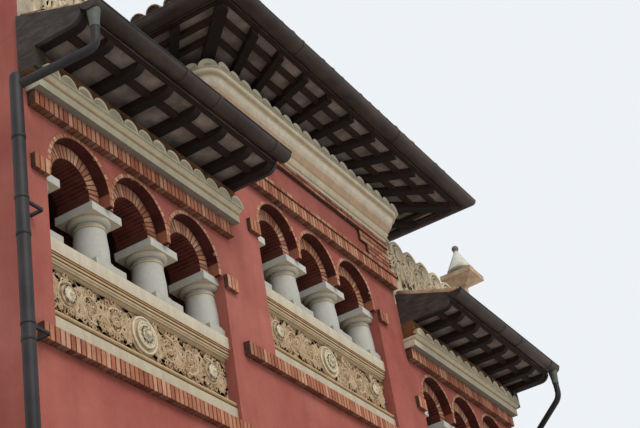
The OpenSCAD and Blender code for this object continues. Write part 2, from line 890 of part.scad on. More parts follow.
// An urn on a thin stem, with a square slab under its round body and a ball on its pointed lid
module urn() {
    low = urn_slab_heights;
    slab = [[-urn_stem, low[0]], [urn_stem, low[0]], [urn_slab, low[1]], [urn_slab, low[2]],
        [-urn_slab, low[2]], [-urn_slab, low[1]]];
    rotate_extrude() polygon([[0, -cut], [urn_foot, -cut], [urn_foot, 40], [urn_stem, 100],
        [urn_stem, low[2]], [urn_drum[0], low[2]], urn_drum, urn_lid_top, [0, urn_lid_top[1]]]);
    intersection() {
        run_x(slab, -far, far);
        run_y(slab, -far, far);
    }
    translate([0, 0, urn_lid_top[1] + 0.9 * ball_radius]) sphere(r = ball_radius);
}

translate([0, plan_shift, 0]) {
    wall_left();
    wall_tower();
    wall_right();
    party_walls();
    back_wall();
    tower_side_walls();
    gallery_floors();
    upper_decks();
    arch_rings();
    arch_orders_left();
    arch_orders_tower();
    arch_orders_right();
    columns_left();
    columns_tower();
    columns_right();
    parapet_left();
    parapet_tower();
    parapet_right();
    carved_panels();
    brick_base_courses();
    brick_upper_courses();
    impost_blocks();
    tower_string();
    tower_quoins();
    tower_top_course();
    side_cornices();
    tower_cornice();
    tile_row_sides();
    tile_row_tower();
    wall_plates();
    rafters_left();
    rafters_tower();
    rafters_right();
    verge_boards();
    eave_battens();
    eave_boards_sides();
    eave_boards_tower();
    side_roofs();
    tower_roof();
    gutters_sides();
    gutter_tower();
    downpipes();
    cresting();
    pinnacles();
}
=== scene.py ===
"""Looks of a house's top-storey front: brick, render, stone, timber, tile and metal round its solids."""

import functools
import logging
import math
import random
from collections.abc import Callable, Iterator, Sequence
from contextlib import contextmanager
from dataclasses import dataclass, field
from enum import Enum

import bmesh
import bpy
from mathutils import Matrix, Vector


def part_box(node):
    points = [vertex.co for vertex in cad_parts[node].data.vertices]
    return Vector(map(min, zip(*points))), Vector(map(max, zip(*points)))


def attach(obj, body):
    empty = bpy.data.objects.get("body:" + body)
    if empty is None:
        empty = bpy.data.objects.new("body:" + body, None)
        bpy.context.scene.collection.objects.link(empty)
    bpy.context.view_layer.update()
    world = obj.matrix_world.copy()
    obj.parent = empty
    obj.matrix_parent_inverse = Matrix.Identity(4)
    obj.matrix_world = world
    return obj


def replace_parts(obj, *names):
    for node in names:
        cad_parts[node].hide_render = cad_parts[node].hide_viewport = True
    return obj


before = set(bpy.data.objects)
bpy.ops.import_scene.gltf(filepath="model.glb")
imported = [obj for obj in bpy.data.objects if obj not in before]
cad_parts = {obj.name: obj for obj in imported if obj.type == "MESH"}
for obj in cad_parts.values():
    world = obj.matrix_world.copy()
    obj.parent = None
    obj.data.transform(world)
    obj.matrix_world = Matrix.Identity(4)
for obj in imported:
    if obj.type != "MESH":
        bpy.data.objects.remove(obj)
log = logging.getLogger("gallery_front")

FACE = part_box("wall_tower")[0].y
ROOT = "root"
PLAIN = 0.5
CORNER_INSET = 0.001
MIX_FACTOR, MIX_A, MIX_B, MIX_OUT = 0, 6, 7, 2
LOW_IN, HIGH_IN, LOW_OUT, HIGH_OUT = 1, 2, 3, 4
UPRIGHT = Matrix(((1, 0, 0, 0), (0, 0, -1, 0), (0, 1, 0, 0), (0, 0, 0, 1)))
Tree = bpy.types.NodeTree
Socket = bpy.types.NodeSocket
Piece = bpy.types.Object
Box = tuple[Vector, Vector]
Place = tuple[Matrix, float]
Pair = tuple[float, float]
Triple = tuple[float, float, float]
Bands = tuple[tuple[float, str], ...]


class Side(Enum):
    """The three bays, by their hand seen from the street."""

    LEFT = -1
    TOWER = 0
    RIGHT = 1


class Part(Enum):
    """What an edit-mode selection is made of, with its select mode."""

    VERTS = "VERT"
    EDGES = "EDGE"
    FACES = "FACE"


# Shader nodes

def linear(colour: str) -> tuple[float, float, float, float]:
    """Turn an sRGB hex colour into linear red, green, blue and alpha."""
    parts = [int(colour[i:i + 2], 16) / 255 for i in (1, 3, 5)]
    return (*[p / 12.92 if p <= 0.04045 else ((p + 0.055) / 1.055) ** 2.4 for p in parts], 1.0)


def add(tree: Tree, kind: str, inputs: dict | None = None,
        stops: Sequence[tuple[float, str]] = (), **settings) -> bpy.types.Node:
    """Add one shader node with its settings and links.

    Args:
        tree: The material's or world's node tree.
        kind: The node's type without its ShaderNode prefix.
        inputs: Sockets by name or number, each with a value or the output that feeds it.
        stops: Places and sRGB colours of a colour ramp.
        **settings: The node's own settings.

    Returns:
        The new node.
    """
    made = tree.nodes.new("ShaderNode" + kind)
    for key, value in settings.items():
        setattr(made, key, value)
    for key, value in (inputs or {}).items():
        if isinstance(value, Socket):
            tree.links.new(value, made.inputs[key])
        else:
            made.inputs[key].default_value = value
    for k, (at, colour) in enumerate(stops):
        points = made.color_ramp.elements
        point = points[k] if k < 2 else points.new(at)
        point.position = at
        point.color = linear(colour)
    return made


@dataclass(frozen=True)
class Surface:
    """One material's node tree, with the steps that finishes are made of.

    Attributes:
        tree: The material's node tree.
        place: Object coordinates.
    """

    tree: Tree
    place: Socket

    def up(self) -> Socket:
        """Give how far the surface faces up, from -1 to 1."""
        normal = add(self.tree, "TexCoord").outputs["Normal"]
        return add(self.tree, "SeparateXYZ", {"Vector": normal}).outputs["Z"]

    def cloud(self, size: float, detail: float, shares: Sequence[float], tones: Sequence[str],
              stretch: Vector | None = None) -> Socket:
        """Mix tones in blotches.

        Args:
            size: Size of a blotch in metres.
            detail: Number of finer layers.
            shares: Share of the noise at which each tone stands.
            tones: The sRGB tones.
            stretch: How many times finer the noise is along X, Y and Z.

        Returns:
            The colour.
        """
        blotch = self.noise(size, detail, stretch)
        return add(self.tree, "ValToRGB", {"Fac": blotch}, list(zip(shares, tones))).outputs[0]

    def each(self, tones: Sequence[str]) -> Socket:
        """Pick a colour for each copy by the tone that its mesh holds.

        Args:
            tones: The sRGB tones, evenly spaced.

        Returns:
            The colour.
        """
        tone = add(self.tree, "Attribute", attribute_name="tone").outputs["Fac"]
        stops = [(k / (len(tones) - 1), colour) for k, colour in enumerate(tones)]
        return add(self.tree, "ValToRGB", {"Fac": tone}, stops).outputs[0]

    def banded(self, foot: float, rise: float, bands: Sequence[tuple[float, str]]) -> Socket:
        """Read a colour from the height.

        Args:
            foot: Height of the lowest band in metres.
            rise: Height of the banded part in metres.
            bands: Share of the rise at which each colour stands.

        Returns:
            The colour.
        """
        level = add(self.tree, "SeparateXYZ", {"Vector": self.place}).outputs["Z"]
        share = add(self.tree, "MapRange", {"Value": level, LOW_IN: foot, HIGH_IN: foot + rise})
        return add(self.tree, "ValToRGB", {"Fac": share.outputs[0]}, bands).outputs[0]

    def noise(self, size: float, detail: float, stretch: Vector | None = None) -> Socket:
        """Give a noise whose blotches are about `size` metres across.

        Args:
            size: Size of a blotch in metres.
            detail: Number of finer layers.
            stretch: How many times finer the noise is along X, Y and Z.

        Returns:
            The noise's factor.
        """
        place = self.place
        if stretch:
            place = add(self.tree, "Mapping", {"Vector": place, "Scale": stretch}).outputs[0]
        made = add(self.tree, "TexNoise", {"Vector": place, "Scale": 1 / size, "Detail": detail,
                                           "Roughness": 0.6})
        return made.outputs[0]

    def shade(self, colour: Socket, factor: Socket, low: float, high: float,
              start: float = 0.35, end: float = 0.65) -> Socket:
        """Multiply a colour by a value that runs from `low` to `high` with a factor.

        Args:
            colour: The colour to change.
            factor: What the value follows.
            low: The value where the factor is `start` or less.
            high: The value where the factor is `end` or more.
            start: Lower end of the factor's range.
            end: Upper end of the factor's range.

        Returns:
            The changed colour.
        """
        value = add(self.tree, "MapRange", {"Value": factor, LOW_IN: start, HIGH_IN: end,
                                            LOW_OUT: low, HIGH_OUT: high})
        return add(self.tree, "Mix", {MIX_FACTOR: 1.0, MIX_A: colour, MIX_B: value.outputs[0]},
                   data_type="RGBA", blend_type="MULTIPLY").outputs[MIX_OUT]

    def over(self, colour: Socket, other: str, factor: Socket) -> Socket:
        """Lay another sRGB colour over one, by a factor."""
        return add(self.tree, "Mix", {MIX_FACTOR: factor, MIX_A: colour, MIX_B: linear(other)},
                   data_type="RGBA").outputs[MIX_OUT]


@dataclass(frozen=True)
class Finish:
    """What every finish shares: roughness, a fine grain and a painted shade that darkens crevices.

    Attributes:
        name: The real material's name.
        slot: The record's slot for it; not used.
        roughness: Mean roughness.
        grain: Size of the surface grain in metres.
        bump: Height of that grain in metres.
        crevice_shade: How much painted shade darkens inside corners, from 0 to 1.
        reach: How far a corner's painted shade reaches, in metres.
    """

    name: str
    slot: str
    roughness: float = 0.85
    grain: float = 0.004
    bump: float = 0.0008
    crevice_shade: float = 0.45
    reach: float = 0.09

    def colour(self, on: Surface) -> Socket:
        """Give the colour before the painted shade in crevices is laid on."""
        raise NotImplementedError

    def height(self, on: Surface) -> Socket:
        """Give the height that the bump reads, a plain grain unless a finish has its own."""
        return on.noise(self.grain, 4)

    def build(self) -> bpy.types.Material:
        """Make the material.

        Returns:
            The material: colour, painted shade in crevices, bump and an unglazed surface.
        """
        made = bpy.data.materials.new(self.name)
        made.use_nodes = True
        tree = made.node_tree
        tree.nodes.clear()
        on = Surface(tree, add(tree, "TexCoord").outputs["Object"])
        colour = self.colour(on)
        # Painted shade: ambient occlusion darkens the colour inside corners and crevices.
        if self.crevice_shade:
            corner = add(tree, "AmbientOcclusion", {"Distance": self.reach}, samples=6)
            colour = on.shade(colour, corner.outputs["AO"], 1 - self.crevice_shade, 1.0, 0.25, 0.95)
        bump = add(tree, "Bump", {"Height": self.height(on), "Distance": self.bump})
        shader = add(tree, "BsdfPrincipled", {"Base Color": colour, "Roughness": self.roughness,
                                              "Normal": bump.outputs[0]})
        shader.inputs["Specular IOR Level"].default_value = 0.3
        add(tree, "OutputMaterial", {"Surface": shader.outputs[0]})
        return made


@functools.cache
def material(finish: Finish) -> bpy.types.Material:
    """Make a finish's material once and give it again later."""
    return finish.build()


@dataclass(frozen=True)
class LimeRender(Finish):
    """Floated lime render, painted: soft blotches, faint rain streaks and a sandy grain."""

    tones: tuple[str, str, str] = ("#944A41", "#A25A4F", "#AE675B")
    streak: float = 0.90

    def colour(self, on: Surface) -> Socket:
        """Mix blotches of about a metre, streaks that run down and sand.

        Args:
            on: The surface that takes it.

        Returns:
            The colour.
        """
        base = on.cloud(0.9, 4, (0.3, 0.5, 0.7), self.tones)
        rain = on.noise(0.45, 3, Vector((3.0, 3.0, 0.35)))
        colour = on.shade(base, rain, self.streak, 1.03)
        return on.shade(colour, on.noise(0.03, 3), 0.965, 1.03)


@dataclass(frozen=True)
class FiredBrick(Finish):
    """Hand-made fired brick: each one its own red, orange or brown, pitted and unglazed."""

    tones: tuple[str, ...] = ("#985A42", "#A6664C", "#B07054", "#BC8060", "#C6967A", "#A86A52")
    soot: float = 0.82
    # Share of the colour left on undersides, a painted shade.
    under: float = 0.42

    def colour(self, on: Surface) -> Socket:
        """Pick a tone for each brick, cloud it, and darken its underside with a painted shade.

        Args:
            on: The surface that takes it.

        Returns:
            The colour.
        """
        base = on.each(self.tones)
        colour = on.shade(base, on.noise(0.03, 4), 0.85, 1.08)
        colour = on.shade(colour, on.noise(0.35, 3), self.soot, 1.06)
        # Painted shade: faces that look down keep only the share `under` of their colour.
        return on.shade(colour, on.up(), self.under, 1.0, -0.85, -0.35)


@dataclass(frozen=True)
class SoffitBrick(Finish):
    """Brick under an arch, dark red-brown with a painted shade on what faces down, so that its turning wedge
    joints are barely seen.

    Attributes:
        middle: X of the bay's middle.
        centre: Height of the arches' middles.
        pitch: Spacing of the arches.
        count: Bricks round a half circle.
        tones: Dark and light of the bricks.
        mortar: Colour of the joints.
        upright: Colour of what stands upright, lighter than the painted shade on what faces down.
        fade: Angles from a joint's middle between which its colour ends.
    """

    middle: float = 0.0
    centre: float = 0.0
    pitch: float = 0.8
    count: int = 21
    tones: tuple[str, str] = ("#471D15", "#672D21")
    mortar: str = "#77473A"
    upright: str = "#5A2E22"
    fade: Pair = (0.012, 0.022)

    def colour(self, on: Surface) -> Socket:
        """Turn the joints round each arch's own middle, tell the bricks apart a little, and keep the painted
        shade to what faces down.

        Args:
            on: The surface that takes it.

        Returns:
            The colour.
        """
        parts = add(on.tree, "SeparateXYZ", {"Vector": on.place})
        step = math.pi / self.count
        side = parts.outputs["X"]
        for operation, value in (("SUBTRACT", self.middle - self.pitch / 2), ("FLOORED_MODULO", self.pitch),
                                 ("SUBTRACT", self.pitch / 2)):
            side = add(on.tree, "Math", {0: side, 1: value}, operation=operation).outputs[0]
        rise = add(on.tree, "Math", {0: parts.outputs["Z"], 1: self.centre}, operation="SUBTRACT")
        turn = add(on.tree, "Math", {0: rise.outputs[0], 1: side}, operation="ARCTAN2")
        wedge = add(on.tree, "Math", {0: turn.outputs[0], 1: step / 2}, operation="PINGPONG")
        joint = add(on.tree, "MapRange", {"Value": wedge.outputs[0], LOW_IN: self.fade[0],
                                          HIGH_IN: self.fade[1], LOW_OUT: 0.6, HIGH_OUT: 0.0})
        brick = add(on.tree, "Math", {0: turn.outputs[0], 1: step}, operation="SNAP")
        own = add(on.tree, "TexWhiteNoise", {"W": brick.outputs[0]}, noise_dimensions="1D")
        cloud = on.cloud(0.12, 4, (0.35, 0.65), self.tones)
        colour = on.shade(cloud, own.outputs["Value"], 0.8, 1.15, 0.0, 1.0)
        colour = on.over(colour, self.mortar, joint.outputs[0])
        # Painted shade: what faces down keeps the dark tones, and what stands upright takes the lighter
        # upright colour.
        lit_upright_mask = add(on.tree, "MapRange", {"Value": on.up(), LOW_IN: -0.15, HIGH_IN: -0.10})
        return on.over(colour, self.upright, lit_upright_mask.outputs[0])


@dataclass(frozen=True)
class JointMortar(Finish):
    """Lime mortar in the joints, brown with soot."""

    tones: tuple[str, str] = ("#3C281F", "#5A4032")

    def colour(self, on: Surface) -> Socket:
        """Mix two browns in small patches."""
        return on.cloud(0.05, 4, (0.35, 0.65), self.tones)


@dataclass(frozen=True)
class RunMoulding(Finish):
    """Run stucco mouldings, painted in bands of cream and tan that follow the profile; the darkest tan lines,
    at coves and under beads, are a painted shade.

    Attributes:
        foot: Height of the lowest line in metres.
        rise: Height of the profile in metres.
        bands: Share of the rise at which each colour stands.
        streak: Darkest share of the rain streaks.
    """

    foot: float = 0.0
    rise: float = 1.0
    bands: Bands = ()
    streak: float = 0.86

    def colour(self, on: Surface) -> Socket:
        """Read the band from the height, then cloud and streak it.

        Args:
            on: The surface that takes it.

        Returns:
            The colour.
        """
        base = on.banded(self.foot, self.rise, self.bands)
        rain = on.noise(0.3, 4, Vector((2.5, 2.5, 0.5)))
        colour = on.shade(base, rain, self.streak, 1.03)
        return on.shade(colour, on.noise(0.02, 4), 0.93, 1.04)


@dataclass(frozen=True)
class CarvedStucco(Finish):
    """Cast foliage, cream on what stands out and brown in what lies deep, a painted shade that grows towards
    the ground.

    Attributes:
        ground: Y of the ground.
        relief: How far what is palest stands out of it.
        deep: Colour at the ground, a painted shade.
        half: Colour a little under halfway out.
        raised: Colour of what stands out.
    """

    ground: float = 0.0
    relief: float = 0.03
    deep: str = "#987A5C"
    half: str = "#B89C7A"
    raised: str = "#D8CCB0"

    def colour(self, on: Surface) -> Socket:
        """Mix painted shade and cream by how far the surface stands out.

        Args:
            on: The surface that takes it.

        Returns:
            The colour.
        """
        depth = add(on.tree, "SeparateXYZ", {"Vector": on.place}).outputs["Y"]
        # Painted shade: the colour darkens from cream to brown towards the carved ground.
        out = add(on.tree, "MapRange", {"Value": depth, LOW_IN: self.ground,
                                        HIGH_IN: self.ground - self.relief})
        middle = add(on.tree, "ValToRGB", {"Fac": out.outputs[0]},
                     [(0.0, self.deep), (1.0, self.raised), (0.45, self.half)])
        return on.shade(middle.outputs[0], on.noise(0.05, 4), 0.78, 1.08)


@dataclass(frozen=True)
class SawnTimber(Finish):
    """Sawn pine, stained and weathered: long grain, with greyed patches.

    Attributes:
        tones: Dark and light of the grain.
        grey: Colour of weathered patches.
        weather: Share of the surface that has greyed.
        along: How many times finer the grain is along X, Y and Z.
        under: What is left of the colour on an underside, a painted shade.
    """

    tones: tuple[str, str] = ("#2E1B14", "#4E2E20")
    grey: str = "#5A5048"
    weather: float = 0.2
    along: Triple = (9.0, 0.8, 9.0)
    under: float = 0.8

    def colour(self, on: Surface) -> Socket:
        """Draw the grain, lay the greyed patches over it, and darken undersides with a painted shade.

        Args:
            on: The surface that takes it.

        Returns:
            The colour.
        """
        base = on.cloud(0.11, 5, (0.34, 0.66), self.tones, Vector(self.along))
        patch = on.noise(0.22, 4)
        edge = 0.72 - 0.4 * self.weather
        worn = add(on.tree, "MapRange", {"Value": patch, LOW_IN: edge, HIGH_IN: edge + 0.12, HIGH_OUT: 0.85})
        colour = on.over(base, self.grey, worn.outputs[0])
        # Painted shade: faces that look down keep only the share `under` of their colour.
        return on.shade(colour, on.up(), self.under, 1.0, -0.9, -0.4)

    def height(self, on: Surface) -> Socket:
        """Raise the grain's late wood."""
        return on.noise(0.05, 5, Vector(self.along))


@dataclass(frozen=True)
class LimedClay(Finish):
    """Flat clay tiles laid on the rafters, limewashed and dusty, with a joint each tile."""

    tones: tuple[str, str, str] = ("#6E625A", "#877A71", "#978B81")
    tile: float = 0.30

    def colour(self, on: Surface) -> Socket:
        """Cloud the tiles, tell one from the next, and stain their joints.

        Args:
            on: The surface that takes it.

        Returns:
            The colour.
        """
        base = on.cloud(0.16, 5, (0.32, 0.5, 0.7), self.tones)
        cells = add(on.tree, "TexVoronoi", {"Vector": on.place, "Scale": 1 / self.tile, "Randomness": 0.35})
        colour = on.shade(base, cells.outputs["Distance"], 1.04, 0.72, 0.30, 0.62)
        return on.shade(colour, on.noise(0.6, 2), 0.82, 1.1)


@dataclass(frozen=True)
class ClayTile(Finish):
    """Fired clay barrel tiles: buff to red, with grey-green lichen in spots."""

    tones: tuple[str, ...] = ("#6E4A3A", "#8A6450", "#A58468", "#BCA688", "#7E5A48")
    lichen: str = "#A9A488"
    spread: float = 0.35

    def colour(self, on: Surface) -> Socket:
        """Pick a tone for each tile, cloud it and spot it with lichen.

        Args:
            on: The surface that takes it.

        Returns:
            The colour.
        """
        base = on.each(self.tones)
        colour = on.shade(base, on.noise(0.08, 4), 0.74, 1.1)
        spots = on.noise(0.035, 5)
        edge = 0.66 - 0.2 * self.spread
        grown = add(on.tree, "MapRange", {"Value": spots, LOW_IN: edge, HIGH_IN: edge + 0.06, HIGH_OUT: 0.75})
        return on.over(colour, self.lichen, grown.outputs[0])


@dataclass(frozen=True)
class WeatheredStone(Finish):
    """Cast stone left out on a roof: cream and brown faces, grey lichen where rain lies.

    Attributes:
        foot: Height of the lowest band in metres.
        rise: Height of the banded part in metres.
        bands: Share of the rise at which each colour stands.
        lichen: Colour of the growth.
        spread: How much of what faces up has grown over.
    """

    foot: float = 0.0
    rise: float = 1.0
    bands: Bands = ((0.0, "#A89272"), (1.0, "#B7A586"))
    lichen: str = "#7F7F6E"
    spread: float = 0.5

    def colour(self, on: Surface) -> Socket:
        """Read the band, cloud it with brown, and grow lichen over what faces up.

        Args:
            on: The surface that takes it.

        Returns:
            The colour.
        """
        base = on.banded(self.foot, self.rise, self.bands)
        colour = on.shade(base, on.noise(0.12, 4), 0.72, 1.1)
        wet = add(on.tree, "MapRange", {"Value": on.up(), LOW_IN: -0.1, HIGH_IN: 0.9, LOW_OUT: 0.0,
                                        HIGH_OUT: 0.22 * self.spread})
        spots = add(on.tree, "Math", {0: on.noise(0.03, 6), 1: wet.outputs[0]})
        edge = 0.70 - 0.12 * self.spread
        grown = add(on.tree, "MapRange", {"Value": spots.outputs[0], LOW_IN: edge, HIGH_IN: edge + 0.08,
                                          HIGH_OUT: 0.85})
        return on.over(colour, self.lichen, grown.outputs[0])


@dataclass(frozen=True)
class PaintedSheet(Finish):
    """Sheet metal under brown-black paint that has chalked and shows the primer in places."""

    tones: tuple[str, str] = ("#281F1B", "#3E312A")
    primer: str = "#604838"
    worn: float = 0.4

    def colour(self, on: Surface) -> Socket:
        """Cloud the paint and let primer through.

        Args:
            on: The surface that takes it.

        Returns:
            The colour.
        """
        base = on.cloud(0.3, 5, (0.35, 0.65), self.tones)
        patch = on.noise(0.5, 5, Vector((0.4, 2.0, 2.0)))
        bare = add(on.tree, "MapRange", {"Value": patch, LOW_IN: 0.6 - 0.2 * self.worn, HIGH_IN: 0.75,
                                         HIGH_OUT: 0.6})
        return on.over(base, self.primer, bare.outputs[0])


RED_RENDER = LimeRender("painted_lime_render", "wall_render", 0.9, 0.006, 0.0012, 0.25, 0.12)


# Modelling

def only(piece: Piece) -> None:
    """Select one object and nothing else.

    Args:
        piece: What to select.
    """
    bpy.ops.object.select_all(action="DESELECT")
    piece.select_set(True)
    bpy.context.view_layer.objects.active = piece


@contextmanager
def editing(piece: Piece, part: Part = Part.VERTS, whole: bool = False) -> Iterator[None]:
    """Open one object in edit mode, and close it again.

    Args:
        piece: The object.
        part: What its selection is made of.
        whole: Whether all of it starts selected, or nothing.
    """
    only(piece)
    bpy.ops.object.mode_set(mode="EDIT")
    bpy.ops.mesh.select_mode(type=part.value)
    bpy.ops.mesh.select_all(action="SELECT" if whole else "DESELECT")
    yield
    bpy.ops.object.mode_set(mode="OBJECT")


def pick(piece: Piece, part: Part, test: Callable[[Vector], bool]) -> None:
    """Select what passes a test on its middle, in edit mode.

    Args:
        piece: The object in edit mode.
        part: What is selected.
        test: Takes the middle of a vertex, edge or face.
    """
    shape = bmesh.from_edit_mesh(piece.data)
    for item in getattr(shape, part.name.lower()):
        points = [item.co] if part is Part.VERTS else [v.co for v in item.verts]
        middle = sum(points, Vector()) / len(points)
        item.select_set(bool(test(middle)))
    shape.select_flush_mode()
    bmesh.update_edit_mesh(piece.data)


def primitive(kind: str, **settings) -> Piece:
    """Add one primitive and put its place into its mesh.

    Args:
        kind: The primitive's name.
        **settings: Its size, place and turn.

    Returns:
        The primitive, as the only thing selected.
    """
    bpy.ops.object.select_all(action="DESELECT")
    getattr(bpy.ops.mesh, f"primitive_{kind}_add")(**settings)
    bpy.ops.object.transform_apply(location=True, rotation=True, scale=True)
    return bpy.context.active_object


def cube(low: Vector, high: Vector) -> Piece:
    """Add a box between two corners."""
    return primitive("cube", size=1, location=(low + high) / 2, scale=high - low)


def chamfered(piece: Piece, width: float) -> Piece:
    """Bevel all edges of a piece.

    Args:
        piece: What to bevel.
        width: Width of the bevel in metres.

    Returns:
        The same piece.
    """
    with editing(piece, Part.EDGES, whole=True):
        bpy.ops.mesh.bevel(offset=width, affect="EDGES")
    return piece


def adopted(node: str, name: str) -> Piece:
    """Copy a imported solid's mesh into a new piece, with its loose points merged.

    Args:
        node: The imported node.
        name: Name of the new piece.

    Returns:
        The copy.
    """
    piece = bpy.data.objects.new(name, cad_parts[node].data.copy())
    bpy.context.scene.collection.objects.link(piece)
    with editing(piece, whole=True):
        bpy.ops.mesh.remove_doubles(threshold=1e-5)
    return piece


def turned(node: str, name: str) -> Piece:
    """Sweep a packed moulding's own section along the tower's front and round both corners.

    Args:
        node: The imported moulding, which is mitred at the corners.
        name: Name of the new piece.

    Returns:
        The moulding with round corners.
    """
    piece = adopted(node, name)
    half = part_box("wall_tower")[1].x - CORNER_INSET
    middle, back = FACE + CORNER_INSET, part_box(node)[1].y
    with editing(piece, whole=True):
        bpy.ops.mesh.bisect(plane_co=(0, 0, 0), plane_no=(1, 0, 0), clear_outer=True)
        pick(piece, Part.VERTS, lambda at: at.x < -1e-5)
        bpy.ops.mesh.delete(type="VERT")
        bpy.ops.mesh.select_all(action="SELECT")
        bpy.ops.mesh.extrude_region_move(TRANSFORM_OT_translate={"value": (half, 0, 0)})
        bpy.ops.mesh.spin(steps=10, angle=-math.pi / 2, center=(half, middle, 0), axis=(0, 0, 1))
        bpy.ops.mesh.extrude_region_move(TRANSFORM_OT_translate={"value": (0, back - middle, 0)})
        bpy.ops.mesh.edge_face_add()
    modified(piece, "MIRROR", merge_threshold=1e-4)
    with editing(piece, whole=True):
        bpy.ops.mesh.remove_doubles(threshold=1e-5)
        bpy.ops.mesh.normals_make_consistent(inside=False)
    return smooth(toned(piece))


def leaf() -> Piece:
    """Model one lobed leaf, a unit long along X, with a sunk rib.

    Returns:
        The leaf.
    """
    piece = primitive("circle", vertices=22, radius=0.5, fill_type="NGON", location=(0.5, 0, 0))
    for vert in piece.data.vertices:
        angle = math.atan2(vert.co.y, vert.co.x - 0.5)
        lobe = 1 + 0.22 * math.cos(5 * angle)
        vert.co.x = 0.5 + 0.5 * math.cos(angle) * (0.86 + 0.14 * lobe)
        vert.co.y = 0.30 * math.sin(angle) * lobe
    with editing(piece, Part.FACES, whole=True):
        bpy.ops.mesh.extrude_region_move(TRANSFORM_OT_translate={"value": (0, 0, 0.10)})
        bpy.ops.mesh.inset(thickness=0.07, depth=0.10)
        bpy.ops.mesh.inset(thickness=0.09, depth=0.02)
        bpy.ops.mesh.inset(thickness=0.05, depth=-0.07)
    return piece


def toned(piece: Piece, tone: float = PLAIN) -> Piece:
    """Write one tone on all of a piece's points.

    Args:
        piece: What to write on.
        tone: The tone, from 0 to 1.

    Returns:
        The same piece.
    """
    layer = piece.data.attributes.get("tone") or piece.data.attributes.new("tone", "FLOAT", "POINT")
    layer.data.foreach_set("value", [tone] * len(piece.data.vertices))
    return piece


def joined(name: str, parts: Sequence[Piece]) -> Piece:
    """Join several objects into one.

    Args:
        name: Name of the whole.
        parts: What to join.

    Returns:
        The joined object.
    """
    bpy.ops.object.select_all(action="DESELECT")
    for part in parts:
        part.select_set(True)
    bpy.context.view_layer.objects.active = parts[0]
    if len(parts) > 1:
        bpy.ops.object.join()
    parts[0].name = name
    return parts[0]


def copies(name: str, master: Piece, places: Sequence[Place]) -> Piece:
    """Set one copy of a master at each place, join them and remove the master.

    Args:
        name: Name of the joined piece.
        master: The model of one, about the origin.
        places: For each copy where it goes, and its tone.

    Returns:
        The joined piece.
    """
    made = []
    for matrix, tone in places:
        twin = master.copy()
        twin.data = master.data.copy()
        twin.data.transform(matrix)
        if matrix.determinant() < 0:
            twin.data.flip_normals()
        bpy.context.scene.collection.objects.link(twin)
        made.append(toned(twin, tone))
    bpy.data.objects.remove(master)
    return joined(name, made)


def modified(piece: Piece, kind: str, **settings) -> Piece:
    """Add one modifier to a piece and apply it.

    Args:
        piece: The piece.
        kind: The modifier's type.
        **settings: The modifier's own settings.

    Returns:
        The same piece.
    """
    only(piece)
    made = piece.modifiers.new(kind.lower(), kind)
    for key, value in settings.items():
        setattr(made, key, value)
    bpy.ops.object.modifier_apply(modifier=made.name)
    return piece


def cut(piece: Piece, point: Vector, normal: Vector) -> None:
    """Cut away what lies on a plane's normal side and close the cut."""
    with editing(piece, whole=True):
        bpy.ops.mesh.bisect(plane_co=point, plane_no=normal, use_fill=True, clear_outer=True)


def tube(name: str, points: Sequence[Vector], radius: float, sides: int,
         taper: Sequence[float] | None = None) -> Piece:
    """Make a round tube along points.

    Args:
        name: Name of the tube.
        points: Its middle line.
        radius: Its radius in metres.
        sides: A quarter of its number of sides, less one.
        taper: Share of the radius at each point.

    Returns:
        The tube as a mesh with closed ends.
    """
    line = bpy.data.curves.new(name, "CURVE")
    line.dimensions = "3D"
    line.bevel_depth = radius
    line.bevel_resolution = sides - 1
    line.use_fill_caps = True
    path = line.splines.new("POLY")
    path.points.add(len(points) - 1)
    for k, point in enumerate(points):
        path.points[k].co = (*point, 1.0)
        path.points[k].radius = taper[k] if taper else 1.0
    piece = bpy.data.objects.new(name, line)
    bpy.context.scene.collection.objects.link(piece)
    only(piece)
    bpy.ops.object.convert(target="MESH")
    return toned(bpy.context.active_object)


def eased(points: Sequence[Vector], radius: float, steps: int) -> list[Vector]:
    """Round the inner corners of a line of points.

    Args:
        points: The line's ends and corners.
        radius: Length taken off each side of a corner, in metres.
        steps: Number of points round a corner.

    Returns:
        The line with its corners rounded.
    """
    line = [points[0]]
    for before, corner, after in zip(points, points[1:], points[2:]):
        start = corner + (before - corner).normalized() * radius
        end = corner + (after - corner).normalized() * radius
        for k in range(steps + 1):
            t = k / steps
            line.append(start * (1 - t) ** 2 + corner * 2 * t * (1 - t) + end * t * t)
    line.append(points[-1])
    return line


def axes(across: Vector, up: Vector) -> Matrix:
    """Turn X to `across`, Y to `up` and Z square to both."""
    return Matrix((across, up, across.cross(up))).transposed().to_4x4()


def smooth(piece: Piece, degrees: float = 35.0) -> Piece:
    """Shade a piece smooth where its faces meet at less than an angle.

    Args:
        piece: What to shade.
        degrees: The angle.

    Returns:
        The same piece.
    """
    only(piece)
    bpy.ops.object.shade_smooth_by_angle(angle=math.radians(degrees))
    return piece


def hand_over(piece: Piece, finish: Finish) -> Piece:
    """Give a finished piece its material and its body.

    Args:
        piece: The finished piece.
        finish: Its finish.

    Returns:
        The same piece.
    """
    piece.data.materials.clear()
    piece.data.materials.append(material(finish))
    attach(piece, ROOT)
    log.info("%s: %d faces of %s", piece.name, len(piece.data.polygons), finish.name)
    return piece


def dress(nodes: Sequence[str], finish: Finish) -> None:
    """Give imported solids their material.

    Args:
        nodes: Names of the solids.
        finish: Their finish.
    """
    for name in nodes:
        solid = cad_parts[name]
        if not solid.material_slots:
            solid.data.materials.append(None)
        for place in solid.material_slots:
            place.material = material(finish)
        log.info("%s: %s", name, finish.name)


